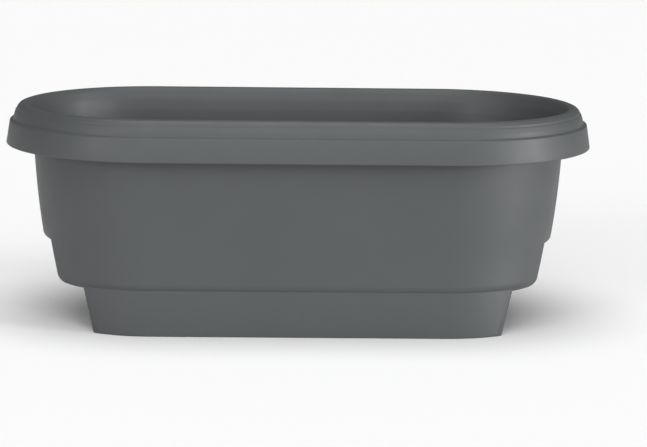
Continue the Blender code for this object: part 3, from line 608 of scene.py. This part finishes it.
CUP_SLOTS = ((0.019, 0.044), (0.056, 0.084))
CUP_SLOT_HALF = 0.0013
CUP_SLOT_REACH = 0.020
CUP_THICK = 0.0015
CUP_CORE_R = 0.0020
CUP_BASE_R = 0.0108
CUP_FLOOR_R = 0.0093
CUP_NECK_R = 0.0149
CUP_MOUTH_R = 0.0136
CUP_NECK_GAP = 0.0002
CUP_WAIST_Z = 0.052
CUP_WAIST_R = 0.0126
CUP_TOP_R = 0.0150
CUP_BANDS = (0.0515, 0.0905)
BAND_DEEP = 0.0006
BAND_PROUD = 0.0003
BAND_HALF = 0.0010


def slot_tool(middle, along, across, through, half_l, half_w, half_t):
    """Round-ended prism; along, across and through are its three unit directions."""
    rings = []
    for depth in (-half_t, half_t):
        ring = []
        for side in (1, -1):
            for i in range(SLOT_END_STEPS + 1):
                angle = -math.pi / 2 + math.pi * i / SLOT_END_STEPS
                u = side * (half_l - half_w + half_w * math.cos(angle))
                v = side * half_w * math.sin(angle)
                ring.append(Vector(middle) + Vector(along) * u + Vector(across) * v + Vector(through) * depth)
        rings.append(ring)
    return new_object("slot", mesh_from_rings("slot", rings, False))


def flat_slot(x, y, z, half_l, half_w, half_t):
    """Round-ended prism that lies along X."""
    return slot_tool((x, y, z), (1, 0, 0), (0, 1, 0), (0, 0, 1), half_l, half_w, half_t)


def cut_cross(item, x, y, reach, half, low_z, high_z):
    """Cuts four upright round-ended slots in a round wall."""
    middle = (x, y, (low_z + high_z) / 2)
    tall = (high_z - low_z) / 2
    up = (0, 0, 1)
    combine(item, slot_tool(middle, up, (0, 1, 0), (1, 0, 0), tall, half, reach), "DIFFERENCE")
    combine(item, slot_tool(middle, up, (1, 0, 0), (0, 1, 0), tall, half, reach), "DIFFERENCE")


def half_outline(side, radius, inset, z):
    """Ring of one half of the platform, from the seam round the end."""
    seam = SEAM_HALF + inset
    ring = [(side * seam, -radius + inset, z)]
    for i in range(END_ARC_STEPS + 1):
        angle = -math.pi / 2 + math.pi * i / END_ARC_STEPS
        x = STRAIGHT_HALF + (radius - inset) * math.cos(angle)
        ring.append((side * x, (radius - inset) * math.sin(angle), z))
    ring.append((side * seam, radius - inset, z))
    return ring


def round_holes(side):
    """Middle, hole radius and clear radius of each big hole of one platform half."""
    found = []
    word = "left" if side < 0 else "right"
    for row in ("front_", "rear_"):
        found.append((*middle_of("wick_cup_" + row + word), CUP_HOLE_R, CUP_FLANGE_R))
    if side < 0:
        found.append((*middle_of("fill_strainer"), FILL_HOLE_R, COLLAR_R))
    else:
        found.append((*middle_of("gauge_tube"), GAUGE_HOLE_R, GAUGE_COLLAR_R))
    return found


def slot_clear(x, y, plate_r, round_things):
    """True where a slot keeps clear of the edge, the ribs, the posts and the big holes."""
    reach = math.hypot(max(abs(x) + SLOT_HALF_L - STRAIGHT_HALF, 0.0), abs(y) + SLOT_HALF_W)
    if reach > plate_r - SLOT_EDGE:
        return False
    if abs(abs(y) - RIB_Y) < RIB_HALF + SLOT_HALF_W + RIB_CLEAR:
        return False
    for px, py, radius in round_things:
        away_x = max(abs(x - px) - SLOT_HALF_L, 0.0)
        away_y = max(abs(y - py) - SLOT_HALF_W, 0.0)
        if math.hypot(away_x, away_y) < radius + SLOT_MARGIN:
            return False
    return True


def make_platform(word, side, material):
    """Half of the slotted platform, with a lip below its edge, ribs, posts and round-ended slots."""
    node = "platform_" + word
    low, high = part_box(node)
    radius = high.y
    top = high.z
    under = top - PLATE_THICK
    lip = under - LIP_DEEP
    rings = [half_outline(side, radius, PLATE_TAPER + inset, lip + lift) for inset, lift in LIP_RINGS]
    rings += [half_outline(side, radius, inset, top - drop) for inset, drop in TOP_RINGS]
    plate = new_object(node + "_look", mesh_from_rings(node, rings, False))
    pocket = [half_outline(side, radius, LIP_WIDE - POCKET_EDGE, lip - POCKET_PAST)]
    pocket.append(half_outline(side, radius, LIP_WIDE, under - POCKET_EDGE))
    pocket.append(half_outline(side, radius, LIP_WIDE + POCKET_EDGE, under))
    combine(plate, new_object("pocket", mesh_from_rings("pocket", pocket, False)), "DIFFERENCE")
    ends = sorted((side * RIB_ENDS[0], side * RIB_ENDS[1]))
    rib_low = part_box("planter_shell")[0].z + NARROW_Z + WALL + GAP
    for y in (-RIB_Y, RIB_Y):
        rib_box = (ends[0], y - RIB_HALF, rib_low), (ends[1], y + RIB_HALF, under + SINK)
        combine(plate, block("rib", *rib_box, RIB_EDGE), "UNION")
    posts = [(side * x, y) for x in POST_XS for y in (-POST_Y, POST_Y)]
    post = [(POST_CORE_R, low.z), (POST_R, low.z, POST_EDGE), (POST_R, under - POST_FLARE_DEEP, POST_FLARE)]
    post.append((POST_R + POST_FLARE, under + SINK))
    for x, y in posts:
        combine(plate, lathe("post", x, y, post, False, SMALL_STEPS), "UNION")
    holes = round_holes(side)
    for x, y, hole_r, _ in holes:
        hole = [(hole_r, under - HOLE_BELOW), (hole_r, top - HOLE_EDGE, HOLE_FILLET)]
        hole.append((hole_r + HOLE_FLARE, top + HOLE_EDGE))
        combine(plate, lathe("hole", x, y, hole, False), "DIFFERENCE")
    things = [(x, y, POST_R) for x, y in posts] + [(x, y, clear_r) for x, y, _, clear_r in holes]
    for column in range(SLOT_COLUMNS):
        for row in range(-SLOT_ROWS, SLOT_ROWS + 1):
            x = side * (SLOT_FIRST_X + column * SLOT_STEP_X)
            y = row * SLOT_STEP_Y
            if slot_clear(x, y, radius, things):
                slot = flat_slot(x, y, under, SLOT_HALF_L, SLOT_HALF_W, SLOT_HALF_DEEP)
                combine(plate, slot, "DIFFERENCE")
    place(plate, node, word + "_platform", material)


def make_cup(row_word, word, material):
    """Slotted cup with a rolled flange, round-ended slots and two fine bands."""
    node = "wick_cup_" + row_word + "_" + word
    x, y = middle_of(node)
    low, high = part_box(node)
    flange = (high.x - low.x) / 2
    seat = high.z - CUP_THICK
    floor = low.z + CUP_THICK
    path = [(CUP_CORE_R, low.z), (CUP_BASE_R, low.z, 0.0016), (CUP_WAIST_R, CUP_WAIST_Z, 0.02)]
    path += [(CUP_NECK_R, seat - CUP_NECK_GAP, 0.0005), (flange, seat, 0.0006), (flange, high.z, 0.0007)]
    path += [(CUP_MOUTH_R, high.z, 0.0010), (CUP_WAIST_R - CUP_THICK, CUP_WAIST_Z, 0.02)]
    path += [(CUP_FLOOR_R, floor, 0.0010), (CUP_CORE_R, floor)]
    cup = lathe(node + "_look", x, y, path, True)
    for low_z, high_z in CUP_SLOTS:
        cut_cross(cup, x, y, CUP_SLOT_REACH, CUP_SLOT_HALF, low_z, high_z)
    for lift in CUP_BANDS:
        outer = CUP_WAIST_R + (CUP_TOP_R - CUP_WAIST_R) * (lift - CUP_WAIST_Z) / (seat - CUP_WAIST_Z)
        band = [(outer - BAND_DEEP, lift - BAND_HALF), (outer + BAND_PROUD, lift - BAND_PROUD)]
        band += [(outer + BAND_PROUD, lift + BAND_PROUD), (outer - BAND_DEEP, lift + BAND_HALF)]
        combine(cup, lathe("band", x, y, band, True), "UNION")
    place(cup, node, word + "_platform", material)


# ---------------------------------------------------------------- fill tube, strainer and lid

TUBE_R = 0.015
TUBE_WALL = 0.002
FUNNEL_LOW = 0.1845
FUNNEL_HIGH = 0.1990
COLLAR_THICK = 0.0026
MOUTH_R = 0.022
MOUTH_BELOW_HINGE = 0.0013
GUSSETS = 4
GUSSET_HALF = 0.0008
GUSSET_SINK = 0.0020
GUSSET_EDGE = 0.0002
GUSSET_SHAPE = [
    (TUBE_R - 0.001, 0.0), (COLLAR_R - 0.0010, 0.0), (COLLAR_R - 0.0012, 0.0012),
    (TUBE_R + 0.0006, 0.012), (TUBE_R - 0.001, 0.0128),
]
EAR_SPAN = (0.0042, 0.0074)
EAR_OUT = 0.0024
EAR_IN = 0.0012
EAR_DEEP = 0.0050
EAR_EDGE = 0.0004
KNUCKLE_PLAY = 0.00005
BORE_HALF = 0.012
STRAINER_CORE_R = 0.0032
STRAINER_OUTER_R = (0.0110, 0.0116)
STRAINER_INNER_R = (0.0104, 0.0098)
STRAINER_RIM = 0.0014
STRAINER_THICK = 0.0013
STRAINER_SLOT = (0.005, 0.026)
STRAINER_SLOT_HALF = 0.0011
STRAINER_SLOT_REACH = 0.0125
LID_R = 0.0226
LID_HALF = 0.0010
LID_CORE_R = 0.0006
LID_CORE_DROP = 0.0004
LID_PLUG_R = (0.0182, 0.0183, 0.0192, 0.0194)
LID_EDGE = 0.0003
LID_KNUCKLE_HALF = 0.00385
ARM_HALF = 0.0038
ARM_OVERLAP = 0.0030
ARM_EDGE = 0.0003
ARM_DROP = 0.0004
TAB_HALF = 0.0060
TAB_OVERLAP = 0.0020
TAB_EDGE = 0.0005
TAB_LIFT = 0.0001
TAB_DROP = 0.0007
RIDGES = 3
RIDGE_FIRST = 0.0010
RIDGE_STEP = 0.0011
RIDGE_HALF = (0.0003, 0.0048)
RIDGE_EDGE = 0.0002
RIDGE_LIFT = 0.0006
RIDGE_DROP = 0.0003
HINGE_R = 0.0029
PIN_R = 0.0013
PIN_EDGE = 0.0004

# Turned rings on the top of the lid: radius, depth below the top and fillet
LID_RELIEF = [
    (LID_R, 0.0001, 0.0006), (0.0212, 0.0, 0.0003), (0.0196, 0.0, 0.0003), (0.0190, 0.0006, 0.0004),
    (0.0112, 0.0005, 0.0004), (0.0106, 0.0, 0.0004), (0.0096, 0.0, 0.0004), (0.0090, 0.0005, 0.0004),
]


def joint_place(name):
    """Place of a joint in the record."""
    for joint in frame["record"]["behaviour"]["joints"]:
        if joint["name"] == name:
            return joint["pos_m"]
    raise KeyError(name)


def make_fill_tube(material):
    """Fill tube with a funnel mouth, a collar, four gussets and two hinge ears."""
    x, y = middle_of("fill_strainer")
    low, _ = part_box("fill_tube")
    hinge_x, _, hinge_z = joint_place("lid_hinge")
    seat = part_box("platform_left")[1].z + GAP
    collar = seat + COLLAR_THICK
    mouth_z = hinge_z - MOUTH_BELOW_HINGE
    path = [(TUBE_R, low.z, 0.0007), (TUBE_R, seat, 0.0001), (COLLAR_R, seat, 0.0004)]
    path += [(COLLAR_R, collar, 0.0008), (TUBE_R, collar, 0.0012), (TUBE_R, FUNNEL_LOW, 0.010)]
    path += [(MOUTH_R, FUNNEL_HIGH, 0.006), (MOUTH_R, mouth_z, 0.0008)]
    path += [(MOUTH_R - TUBE_WALL, mouth_z, 0.0006), (MOUTH_R - TUBE_WALL, FUNNEL_HIGH, 0.0005)]
    path += [(TUBE_R - TUBE_WALL, FUNNEL_LOW, 0.008), (TUBE_R - TUBE_WALL, low.z, 0.0007)]
    tube = lathe("fill_tube_look", x, y, path, True)
    foot_z = seat + GUSSET_SINK
    for turn in range(GUSSETS):
        angle = math.pi / 4 + turn * 2 * math.pi / GUSSETS
        out = Vector((math.cos(angle), math.sin(angle), 0.0))
        side = Vector((-out.y, out.x, 0.0)) * GUSSET_HALF
        rings = []
        for sign in (-1, 1):
            here = side * sign
            rings.append([Vector((x, y, foot_z + lift)) + out * reach + here for reach, lift in GUSSET_SHAPE])
        gusset = new_object("gusset", mesh_from_rings("gusset", rings, False))
        soften(gusset, GUSSET_EDGE)
        combine(tube, gusset, "UNION")
    for side in (-1, 1):
        near, far = sorted((side * EAR_SPAN[0], side * EAR_SPAN[1]))
        ear_low = (hinge_x - EAR_OUT, y + near, mouth_z - EAR_DEEP)
        ear_high = (x - MOUTH_R + EAR_IN, y + far, mouth_z - GAP)
        ear = block("ear", ear_low, ear_high, EAR_EDGE)
        half = (far - near) / 2 - KNUCKLE_PLAY
        combine(ear, barrel("knuckle", hinge_x, y + (near + far) / 2, hinge_z, HINGE_R, half), "UNION")
        combine(tube, ear, "UNION")
    combine(tube, barrel("bore", hinge_x, y, hinge_z, PIN_R + GAP, BORE_HALF), "DIFFERENCE")
    place(tube, "fill_tube", "left_platform", material)


def make_fill_strainer(material):
    """Slotted basket with a rolled rim."""
    x, y = middle_of("fill_strainer")
    low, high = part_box("fill_strainer")
    rim = (high.x - low.x) / 2
    seat = high.z - STRAINER_RIM
    floor = low.z + STRAINER_THICK
    path = [(STRAINER_CORE_R, low.z), (STRAINER_OUTER_R[0], low.z, 0.0012)]
    path += [(STRAINER_OUTER_R[1], seat, 0.0005), (rim, seat, 0.0004), (rim, high.z, 0.0006)]
    path += [(STRAINER_INNER_R[0], high.z, 0.0008), (STRAINER_INNER_R[1], floor, 0.0008)]
    path.append((STRAINER_CORE_R, floor))
    strainer = lathe("fill_strainer_look", x, y, path, True)
    slot_low, slot_high = (low.z + lift for lift in STRAINER_SLOT)
    cut_cross(strainer, x, y, STRAINER_SLOT_REACH, STRAINER_SLOT_HALF, slot_low, slot_high)
    place(strainer, "fill_strainer", "left_platform", material)


def make_fill_lid(material):
    """Lid with a raised edge ring, a plug ring, a ribbed finger tab and a hinge knuckle."""
    x, y = middle_of("fill_strainer")
    low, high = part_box("fill_lid")
    hinge_x, _, hinge_z = joint_place("lid_hinge")
    top = hinge_z + LID_HALF
    under = hinge_z - LID_HALF
    plug = LID_PLUG_R
    path = [(LID_CORE_R, under), (plug[0], under, 0.0005), (plug[1], low.z, 0.0003), (plug[2], low.z, 0.0004)]
    path += [(plug[3], under, LID_EDGE), (LID_R, under, LID_EDGE)]
    path += [(radius, top - drop, fillet) for radius, drop, fillet in LID_RELIEF]
    path.append((LID_CORE_R, top - LID_CORE_DROP))
    lid = lathe("fill_lid_look", x, y, path, False)
    arm_high = (x - LID_R + ARM_OVERLAP, y + ARM_HALF, top - ARM_DROP)
    arm = block("arm", (hinge_x, y - ARM_HALF, under), arm_high, ARM_EDGE)
    combine(arm, barrel("knuckle", hinge_x, y, hinge_z, HINGE_R, LID_KNUCKLE_HALF), "UNION")
    combine(lid, arm, "UNION")
    tab_low = (x + LID_R - TAB_OVERLAP, y - TAB_HALF, under + TAB_LIFT)
    tab = block("tab", tab_low, (high.x, y + TAB_HALF, top - TAB_DROP), TAB_EDGE)
    half_x, half_y = RIDGE_HALF
    for i in range(RIDGES):
        middle = x + LID_R + RIDGE_FIRST + RIDGE_STEP * i
        ridge_low = (middle - half_x, y - half_y, under + RIDGE_LIFT)
        ridge_high = (middle + half_x, y + half_y, top - RIDGE_DROP)
        combine(tab, block("ridge", ridge_low, ridge_high, RIDGE_EDGE), "UNION")
    combine(lid, tab, "UNION")
    combine(lid, barrel("bore", hinge_x, y, hinge_z, PIN_R + GAP, BORE_HALF), "DIFFERENCE")
    place(lid, "fill_lid", "lid", material)


def make_lid_pin(material):
    """Steel pin with rounded ends."""
    low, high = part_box("fill_lid_pin")
    x, y = middle_of("fill_lid_pin")
    pin = barrel("fill_lid_pin_look", x, y, (low.z + high.z) / 2, PIN_R, (high.y - low.y) / 2, PIN_EDGE)
    place(pin, "fill_lid_pin", "left_platform", material)


# ---------------------------------------------------------------- float gauge

GAUGE_R = 0.011
GAUGE_WALL = 0.0015
GAUGE_CORE_R = 0.0030
GAUGE_SLOTS = ((0.013, 0.045), (0.052, 0.088))
GAUGE_SLOT_HALF = 0.0015
GAUGE_SLOT_REACH = 0.013
SPIGOT_HIGH = 0.004
SPIGOT_STEP = 0.0006
CUFF_DROPS = (0.0052, 0.0048, 0.0003)
CUFF_PROUD = 0.0005
WINDOW_BORE_R = 0.0095
LEVEL_MARKS = (0.1440, 0.1920)
MARK_HALF = 0.0006
MARK_DEEP = 0.0004
MARK_FLAT = 0.0003
CAP_MARKS = 4
CAP_MARK_FIRST = 0.0026
CAP_MARK_STEP = 0.0020
CAP_DISH = 0.0006
CAP_DISH_R = (0.0094, 0.0086)
CAP_THICK = 0.0020
CAP_CORE_R = 0.0008
FLOAT_BORE_R = 0.0018
FLOAT_ROUND = 0.0024
STEM_R = 0.0015
STEM_CORE_R = 0.0005
STEM_COLLAR = (0.0032, 0.0016)
FLAG_HIGH = 0.0080


def turned_mark(outer, z):
    """Corners of a shallow turned groove in a wall of radius outer."""
    return [(outer, z - MARK_HALF), (outer - MARK_DEEP, z - MARK_FLAT), (outer - MARK_DEEP, z + MARK_FLAT),
            (outer, z + MARK_HALF)]


def make_gauge_tube(material):
    """Gauge tube with a collar, a cuff, round-ended slots and a spigot."""
    x, y = middle_of("gauge_tube")
    low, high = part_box("gauge_tube")
    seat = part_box("platform_right")[1].z + GAP
    collar = seat + COLLAR_THICK
    join = high.z - SPIGOT_HIGH
    bore = GAUGE_R - GAUGE_WALL
    path = [(GAUGE_CORE_R, low.z), (GAUGE_R, low.z, 0.0008), (GAUGE_R, seat, 0.0001)]
    path += [(GAUGE_COLLAR_R, seat, 0.0004), (GAUGE_COLLAR_R, collar, 0.0008), (GAUGE_R, collar, 0.0010)]
    cuff_low, cuff_full, cuff_top = (join - drop for drop in CUFF_DROPS)
    path += [(GAUGE_R, cuff_low, 0.0002), (GAUGE_R + CUFF_PROUD, cuff_full, 0.0003)]
    path += [(GAUGE_R + CUFF_PROUD, cuff_top, 0.0003), (GAUGE_R, join, 0.0001)]
    path += [(bore + SPIGOT_STEP, join, 0.0002), (bore + SPIGOT_STEP, high.z, 0.0002), (bore, high.z, 0.0002)]
    path += [(bore, low.z + GAUGE_WALL, 0.0006), (GAUGE_CORE_R, low.z + GAUGE_WALL)]
    tube = lathe("gauge_tube_look", x, y, path, True)
    for low_z, high_z in GAUGE_SLOTS:
        cut_cross(tube, x, y, GAUGE_SLOT_REACH, GAUGE_SLOT_HALF, low_z, high_z)
    place(tube, "gauge_tube", "right_platform", material)


def make_gauge_window(material):
    """Clear window with two fine turned marks for the lowest and highest level."""
    x, y = middle_of("gauge_window")
    low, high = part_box("gauge_window")
    socket = GAUGE_R - SPIGOT_STEP
    step = low.z + SPIGOT_HIGH
    path = [(socket, low.z), (GAUGE_R, low.z, 0.0003)]
    for mark in LEVEL_MARKS:
        path += turned_mark(GAUGE_R, mark)
    path += [(GAUGE_R, high.z, 0.0005), (WINDOW_BORE_R, high.z, 0.0005)]
    path += [(WINDOW_BORE_R, step), (socket, step)]
    window = lathe("gauge_window_look", x, y, path, True)
    place(window, "gauge_window", "right_platform", material)


def make_gauge_cap(material):
    """Cap with a grooved skirt and a dished top."""
    x, y = middle_of("gauge_cap")
    low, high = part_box("gauge_cap")
    outer = (high.x - low.x) / 2
    dish = high.z - CAP_DISH
    inside = high.z - CAP_THICK
    path = [(GAUGE_R + GAP, low.z, 0.0003), (outer, low.z, 0.0004)]
    for i in range(CAP_MARKS):
        path += turned_mark(outer, low.z + CAP_MARK_FIRST + CAP_MARK_STEP * i)
    path += [(outer, high.z, 0.0012), (CAP_DISH_R[0], high.z, 0.0008), (CAP_DISH_R[1], dish, 0.0006)]
    path += [(CAP_CORE_R, dish, 0.0002), (CAP_CORE_R, inside), (GAUGE_R + GAP, inside, 0.0005)]
    cap = lathe("gauge_cap_look", x, y, path, True)
    place(cap, "gauge_cap", "right_platform", material)


def make_gauge_float(material):
    """Foam float with rounded ends."""
    x, y = middle_of("gauge_float")
    low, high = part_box("gauge_float")
    outer = (high.x - low.x) / 2
    path = [(FLOAT_BORE_R, low.z, 0.0003), (outer, low.z, FLOAT_ROUND), (outer, high.z, FLOAT_ROUND)]
    path.append((FLOAT_BORE_R, high.z, 0.0003))
    float_piece = lathe("gauge_float_look", x, y, path, True)
    place(float_piece, "gauge_float", "float", material)


def make_gauge_stem(material):
    """Stem with a collar on the float and a flag at its head."""
    x, y = middle_of("gauge_stem")
    low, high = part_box("gauge_stem")
    flag = (high.x - low.x) / 2
    flag_low = high.z - FLAG_HIGH
    collar_r, collar_high = STEM_COLLAR
    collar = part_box("gauge_float")[1].z + GAP
    path = [(STEM_CORE_R, low.z), (STEM_R, low.z, 0.0005), (STEM_R, collar, 0.0001)]
    path += [(collar_r, collar, 0.0003), (collar_r, collar + collar_high, 0.0005)]
    path += [(STEM_R, collar + collar_high, 0.0006), (STEM_R, flag_low, 0.0008)]
    path += [(flag, flag_low, 0.0006), (flag, high.z, 0.0014), (STEM_CORE_R, high.z)]
    stem = lathe("gauge_stem_look", x, y, path, False, SMALL_STEPS)
    place(stem, "gauge_stem", "float", material)


# ---------------------------------------------------------------- overflow and drains

PIPE_R = 0.005
PIPE_BORE_R = 0.0035
STOP_ABOVE = 0.0010
STOP_PROUD = 0.0011
STOP_HIGH = 0.0016
GROMMET_LIP_R = 0.0090
GROMMET_NECK_R = 0.0067
GROMMET_LOWER = 0.0022
GROMMET_UPPER = 0.0020
CAP_SLOT = (0.0905, 0.0937)
CAP_SLOT_HALF = 0.0013
CAP_SLOT_REACH = 0.009
CAP_TOP_THICK = 0.0015
DOME_R = 0.0040
DOME_DROP = 0.0004
DOME_CORE_R = 0.0006
PLUG_HEAD_R = 0.0092
PLUG_NECK_R = 0.0059
PLUG_CORE_R = 0.0006
PLUG_DISH = 0.0003
PLUG_DISH_R = (0.0072, 0.0076)
LUG_LOW = 0.0083
LUG_HALF = (0.0086, 0.0017)
LUG_BELOW_TOP = 0.0004
LUG_EDGE = 0.0004
COIN_SLOT = (0.0062, 0.0010, 0.0013)
SEAL_BORE_R = 0.0062


def make_overflow_pipe(word, material):
    """Standpipe with rounded ends and a stop ring above the grommet."""
    node = "overflow_pipe_" + word
    x, y = middle_of(node)
    low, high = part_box(node)
    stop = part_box("overflow_grommet_" + word)[1].z + STOP_ABOVE
    stop_r = PIPE_R + STOP_PROUD
    path = [(PIPE_R, low.z, 0.0004), (PIPE_R, stop, 0.0001), (stop_r, stop, 0.0003)]
    path += [(stop_r, stop + STOP_HIGH, 0.0005), (PIPE_R, stop + STOP_HIGH, 0.0003), (PIPE_R, high.z, 0.0004)]
    path += [(PIPE_BORE_R, high.z, 0.0004), (PIPE_BORE_R, low.z, 0.0004)]
    pipe = lathe(node + "_look", x, y, path, True, SMALL_STEPS)
    place(pipe, node, "tub", material)


def make_overflow_grommet(word, material):
    """Rubber grommet with rounded lips."""
    node = "overflow_grommet_" + word
    x, y = middle_of(node)
    low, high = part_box(node)
    outer = (high.x - low.x) / 2
    bore = PIPE_R + GAP
    lower = low.z + GROMMET_LOWER
    upper = high.z - GROMMET_UPPER
    path = [(bore, low.z, 0.0004), (GROMMET_LIP_R, low.z, 0.0009), (GROMMET_LIP_R, lower, 0.0004)]
    path += [(GROMMET_NECK_R, lower, 0.0001), (GROMMET_NECK_R, upper, 0.0001), (outer, upper, 0.0004)]
    path += [(outer, high.z, 0.0012), (bore, high.z, 0.0005)]
    grommet = lathe(node + "_look", x, y, path, True, SMALL_STEPS)
    place(grommet, node, "tub", material)


def make_overflow_strainer(word, material):
    """Slotted cap with a domed top."""
    node = "overflow_strainer_" + word
    x, y = middle_of(node)
    low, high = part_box(node)
    outer = (high.x - low.x) / 2
    bore = PIPE_R + GAP
    inside = high.z - CAP_TOP_THICK
    path = [(bore, low.z, 0.0003), (outer, low.z, 0.0005), (outer, high.z - DOME_DROP, 0.0012)]
    path += [(DOME_R, high.z, 0.006), (DOME_CORE_R, high.z), (DOME_CORE_R, inside), (bore, inside, 0.0005)]
    cap = lathe(node + "_look", x, y, path, True, SMALL_STEPS)
    cut_cross(cap, x, y, CAP_SLOT_REACH, CAP_SLOT_HALF, *CAP_SLOT)
    place(cap, node, "tub", material)


def make_drain_plug(word, material):
    """Quarter-turn plug with a dished head, a coin slot and two lugs."""
    node = "drain_plug_" + word
    x, y = middle_of(node)
    low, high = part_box(node)
    dish = low.z + PLUG_DISH
    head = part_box("drain_seal_" + word)[0].z - GAP
    path = [(PLUG_CORE_R, dish), (PLUG_DISH_R[0], dish, 0.0004), (PLUG_DISH_R[1], low.z, 0.0003)]
    path += [(PLUG_HEAD_R, low.z, 0.0007), (PLUG_HEAD_R, head, 0.0003)]
    path += [(PLUG_NECK_R, head, 0.0001), (PLUG_NECK_R, high.z, 0.0006), (PLUG_CORE_R, high.z)]
    plug = lathe(node + "_look", x, y, path, False, SMALL_STEPS)
    half_x, half_y = LUG_HALF
    lug_high = (x + half_x, y + half_y, high.z - LUG_BELOW_TOP)
    combine(plug, block("lugs", (x - half_x, y - half_y, LUG_LOW), lug_high, LUG_EDGE), "UNION")
    combine(plug, flat_slot(x, y, low.z, *COIN_SLOT), "DIFFERENCE")
    place(plug, node, word + "_plug", material)


def make_drain_seal(word, material):
    """Round-edged rubber washer."""
    node = "drain_seal_" + word
    x, y = middle_of(node)
    low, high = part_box(node)
    outer = (high.x - low.x) / 2
    path = [(SEAL_BORE_R, low.z, 0.0004), (outer, low.z, 0.0005)]
    path += [(outer, high.z, 0.0005), (SEAL_BORE_R, high.z, 0.0004)]
    seal = lathe(node + "_look", x, y, path, True, SMALL_STEPS)
    place(seal, node, word + "_plug", material)


# ---------------------------------------------------------------- colours of the watering pieces

BLACK = (0.030, 0.031, 0.033)
GREY = (0.300, 0.305, 0.310)
CLEAR = (0.90, 0.94, 0.95)
RED = (0.550, 0.035, 0.025)
WHITE_FOAM = (0.78, 0.78, 0.76)
RUBBER = (0.018, 0.018, 0.018)
STEEL = (0.56, 0.57, 0.58)


def make_inner_pieces():
    """Every watering piece, with its materials."""
    black = moulded("black_moulding", BLACK, rough=0.50, grain=1300.0, depth=0.00008)
    grey = moulded("grey_moulding", GREY, rough=0.45, grain=1300.0, depth=0.00006)
    window = clear("clear_moulding", CLEAR)
    red = moulded("red_moulding", RED, rough=0.34, grain=1100.0, depth=0.00004, tone=0.06)
    white = foam("white_float_foam", WHITE_FOAM)
    rubber = moulded("rubber", RUBBER, rough=0.72, grain=1600.0, depth=0.0001, tone=0.12)
    steel = steel_wire("pin_steel", STEEL)
    for word, side in (("left", -1), ("right", 1)):
        make_platform(word, side, black)
        make_cup("front", word, black)
        make_cup("rear", word, black)
    make_fill_tube(black)
    make_fill_strainer(grey)
    make_fill_lid(black)
    make_lid_pin(steel)
    make_gauge_tube(black)
    make_gauge_window(window)
    make_gauge_cap(black)
    make_gauge_float(white)
    make_gauge_stem(red)
    for word in ("front", "rear"):
        make_overflow_pipe(word, grey)
        make_overflow_grommet(word, rubber)
        make_overflow_strainer(word, black)
        make_drain_plug(word, grey)
        make_drain_seal(word, rubber)


# ---------------------------------------------------------------- camera, light and floor

CAMERA_TARGET = Vector((0.0, 0.0, 0.120))
CAMERA_DISTANCE = 2.6
CAMERA_ELEVATION = math.radians(9.64)
CAMERA_TURN = math.radians(1.06)
CAMERA_ROLL = math.radians(0.67)
CAMERA_LENS = 137.35
CAMERA_SENSOR = 36.0
CAMERA_SHIFT = (0.0399, -0.0306)
CAMERA_CLIP_END = 50.0

# Name, degrees round from the front towards the right, degrees above the floor, strength, spread in degrees
LIGHTS = (
    ("key", 67.0, 5.0, 2.85, 18.0),
    ("fill", -42.0, 13.0, 1.0, 22.0),
    ("front", 4.0, 34.0, 1.15, 50.0),
    ("top", 0.0, 84.0, 1.62, 50.0),
)
FLOOR_HALF = 14.0
FLOOR_COLOUR = (0.95, 0.95, 0.95, 1.0)
FLOOR_ROUGH = 0.9
FLOOR_SPECULAR = 0.1
ROOM_COLOUR = (1.0, 1.0, 1.0, 1.0)
ROOM_STRENGTH = 0.16
CHARCOAL = (0.054, 0.0585, 0.0605)


def make_camera():
    """Long lens from the front, a little above the rim."""
    data = bpy.data.cameras.new("camera")
    data.lens = CAMERA_LENS
    data.sensor_width = CAMERA_SENSOR
    data.shift_x, data.shift_y = CAMERA_SHIFT
    data.clip_end = CAMERA_CLIP_END
    camera = bpy.data.objects.new("camera", data)
    bpy.context.scene.collection.objects.link(camera)
    flat = CAMERA_DISTANCE * math.cos(CAMERA_ELEVATION)
    offset = Vector((-flat * math.sin(CAMERA_TURN), -flat * math.cos(CAMERA_TURN), 0.0))
    offset.z = CAMERA_DISTANCE * math.sin(CAMERA_ELEVATION)
    camera.location = CAMERA_TARGET + offset
    aim = (-offset).to_track_quat("-Z", "Y").to_matrix().to_4x4()
    camera.rotation_euler = (aim @ Matrix.Rotation(CAMERA_ROLL, 4, "Z")).to_euler()
    bpy.context.scene.camera = camera


def make_light(name, around, above, strength, spread):
    """Broad distant light."""
    data = bpy.data.lights.new(name, "SUN")
    data.energy = strength
    data.angle = math.radians(spread)
    lamp = bpy.data.objects.new(name, data)
    bpy.context.scene.collection.objects.link(lamp)
    flat = math.cos(math.radians(above))
    source = Vector((flat * math.sin(math.radians(around)), -flat * math.cos(math.radians(around)), 0.0))
    source.z = math.sin(math.radians(above))
    lamp.rotation_euler = (-source).to_track_quat("-Z", "Y").to_euler()


def make_stage():
    """Pale floor and even white surroundings."""
    work = bmesh.new()
    bmesh.ops.create_grid(work, x_segments=1, y_segments=1, size=FLOOR_HALF)
    mesh = bpy.data.meshes.new("floor")
    work.to_mesh(mesh)
    work.free()
    floor = new_object("floor", mesh)
    material = bpy.data.materials.new("floor")
    material.use_nodes = True
    shader = material.node_tree.nodes["Principled BSDF"]
    shader.inputs["Base Color"].default_value = FLOOR_COLOUR
    shader.inputs["Roughness"].default_value = FLOOR_ROUGH
    shader.inputs["Specular IOR Level"].default_value = FLOOR_SPECULAR
    mesh.materials.append(material)
    world = bpy.data.worlds.new("studio")
    bpy.context.scene.world = world
    world.use_nodes = True
    background = world.node_tree.nodes["Background"]
    background.inputs["Color"].default_value = ROOM_COLOUR
    background.inputs["Strength"].default_value = ROOM_STRENGTH


make_camera()
make_stage()
for light in LIGHTS:
    make_light(*light)
bpy.context.scene.view_settings.view_transform = "Standard"
charcoal = moulded("charcoal_plastic", CHARCOAL, rough=0.55, grain=1500.0, depth=0.00006,
                   tone=0.03, spread=0.04, specular=0.55)
make_shell(charcoal)
make_inner_pieces()
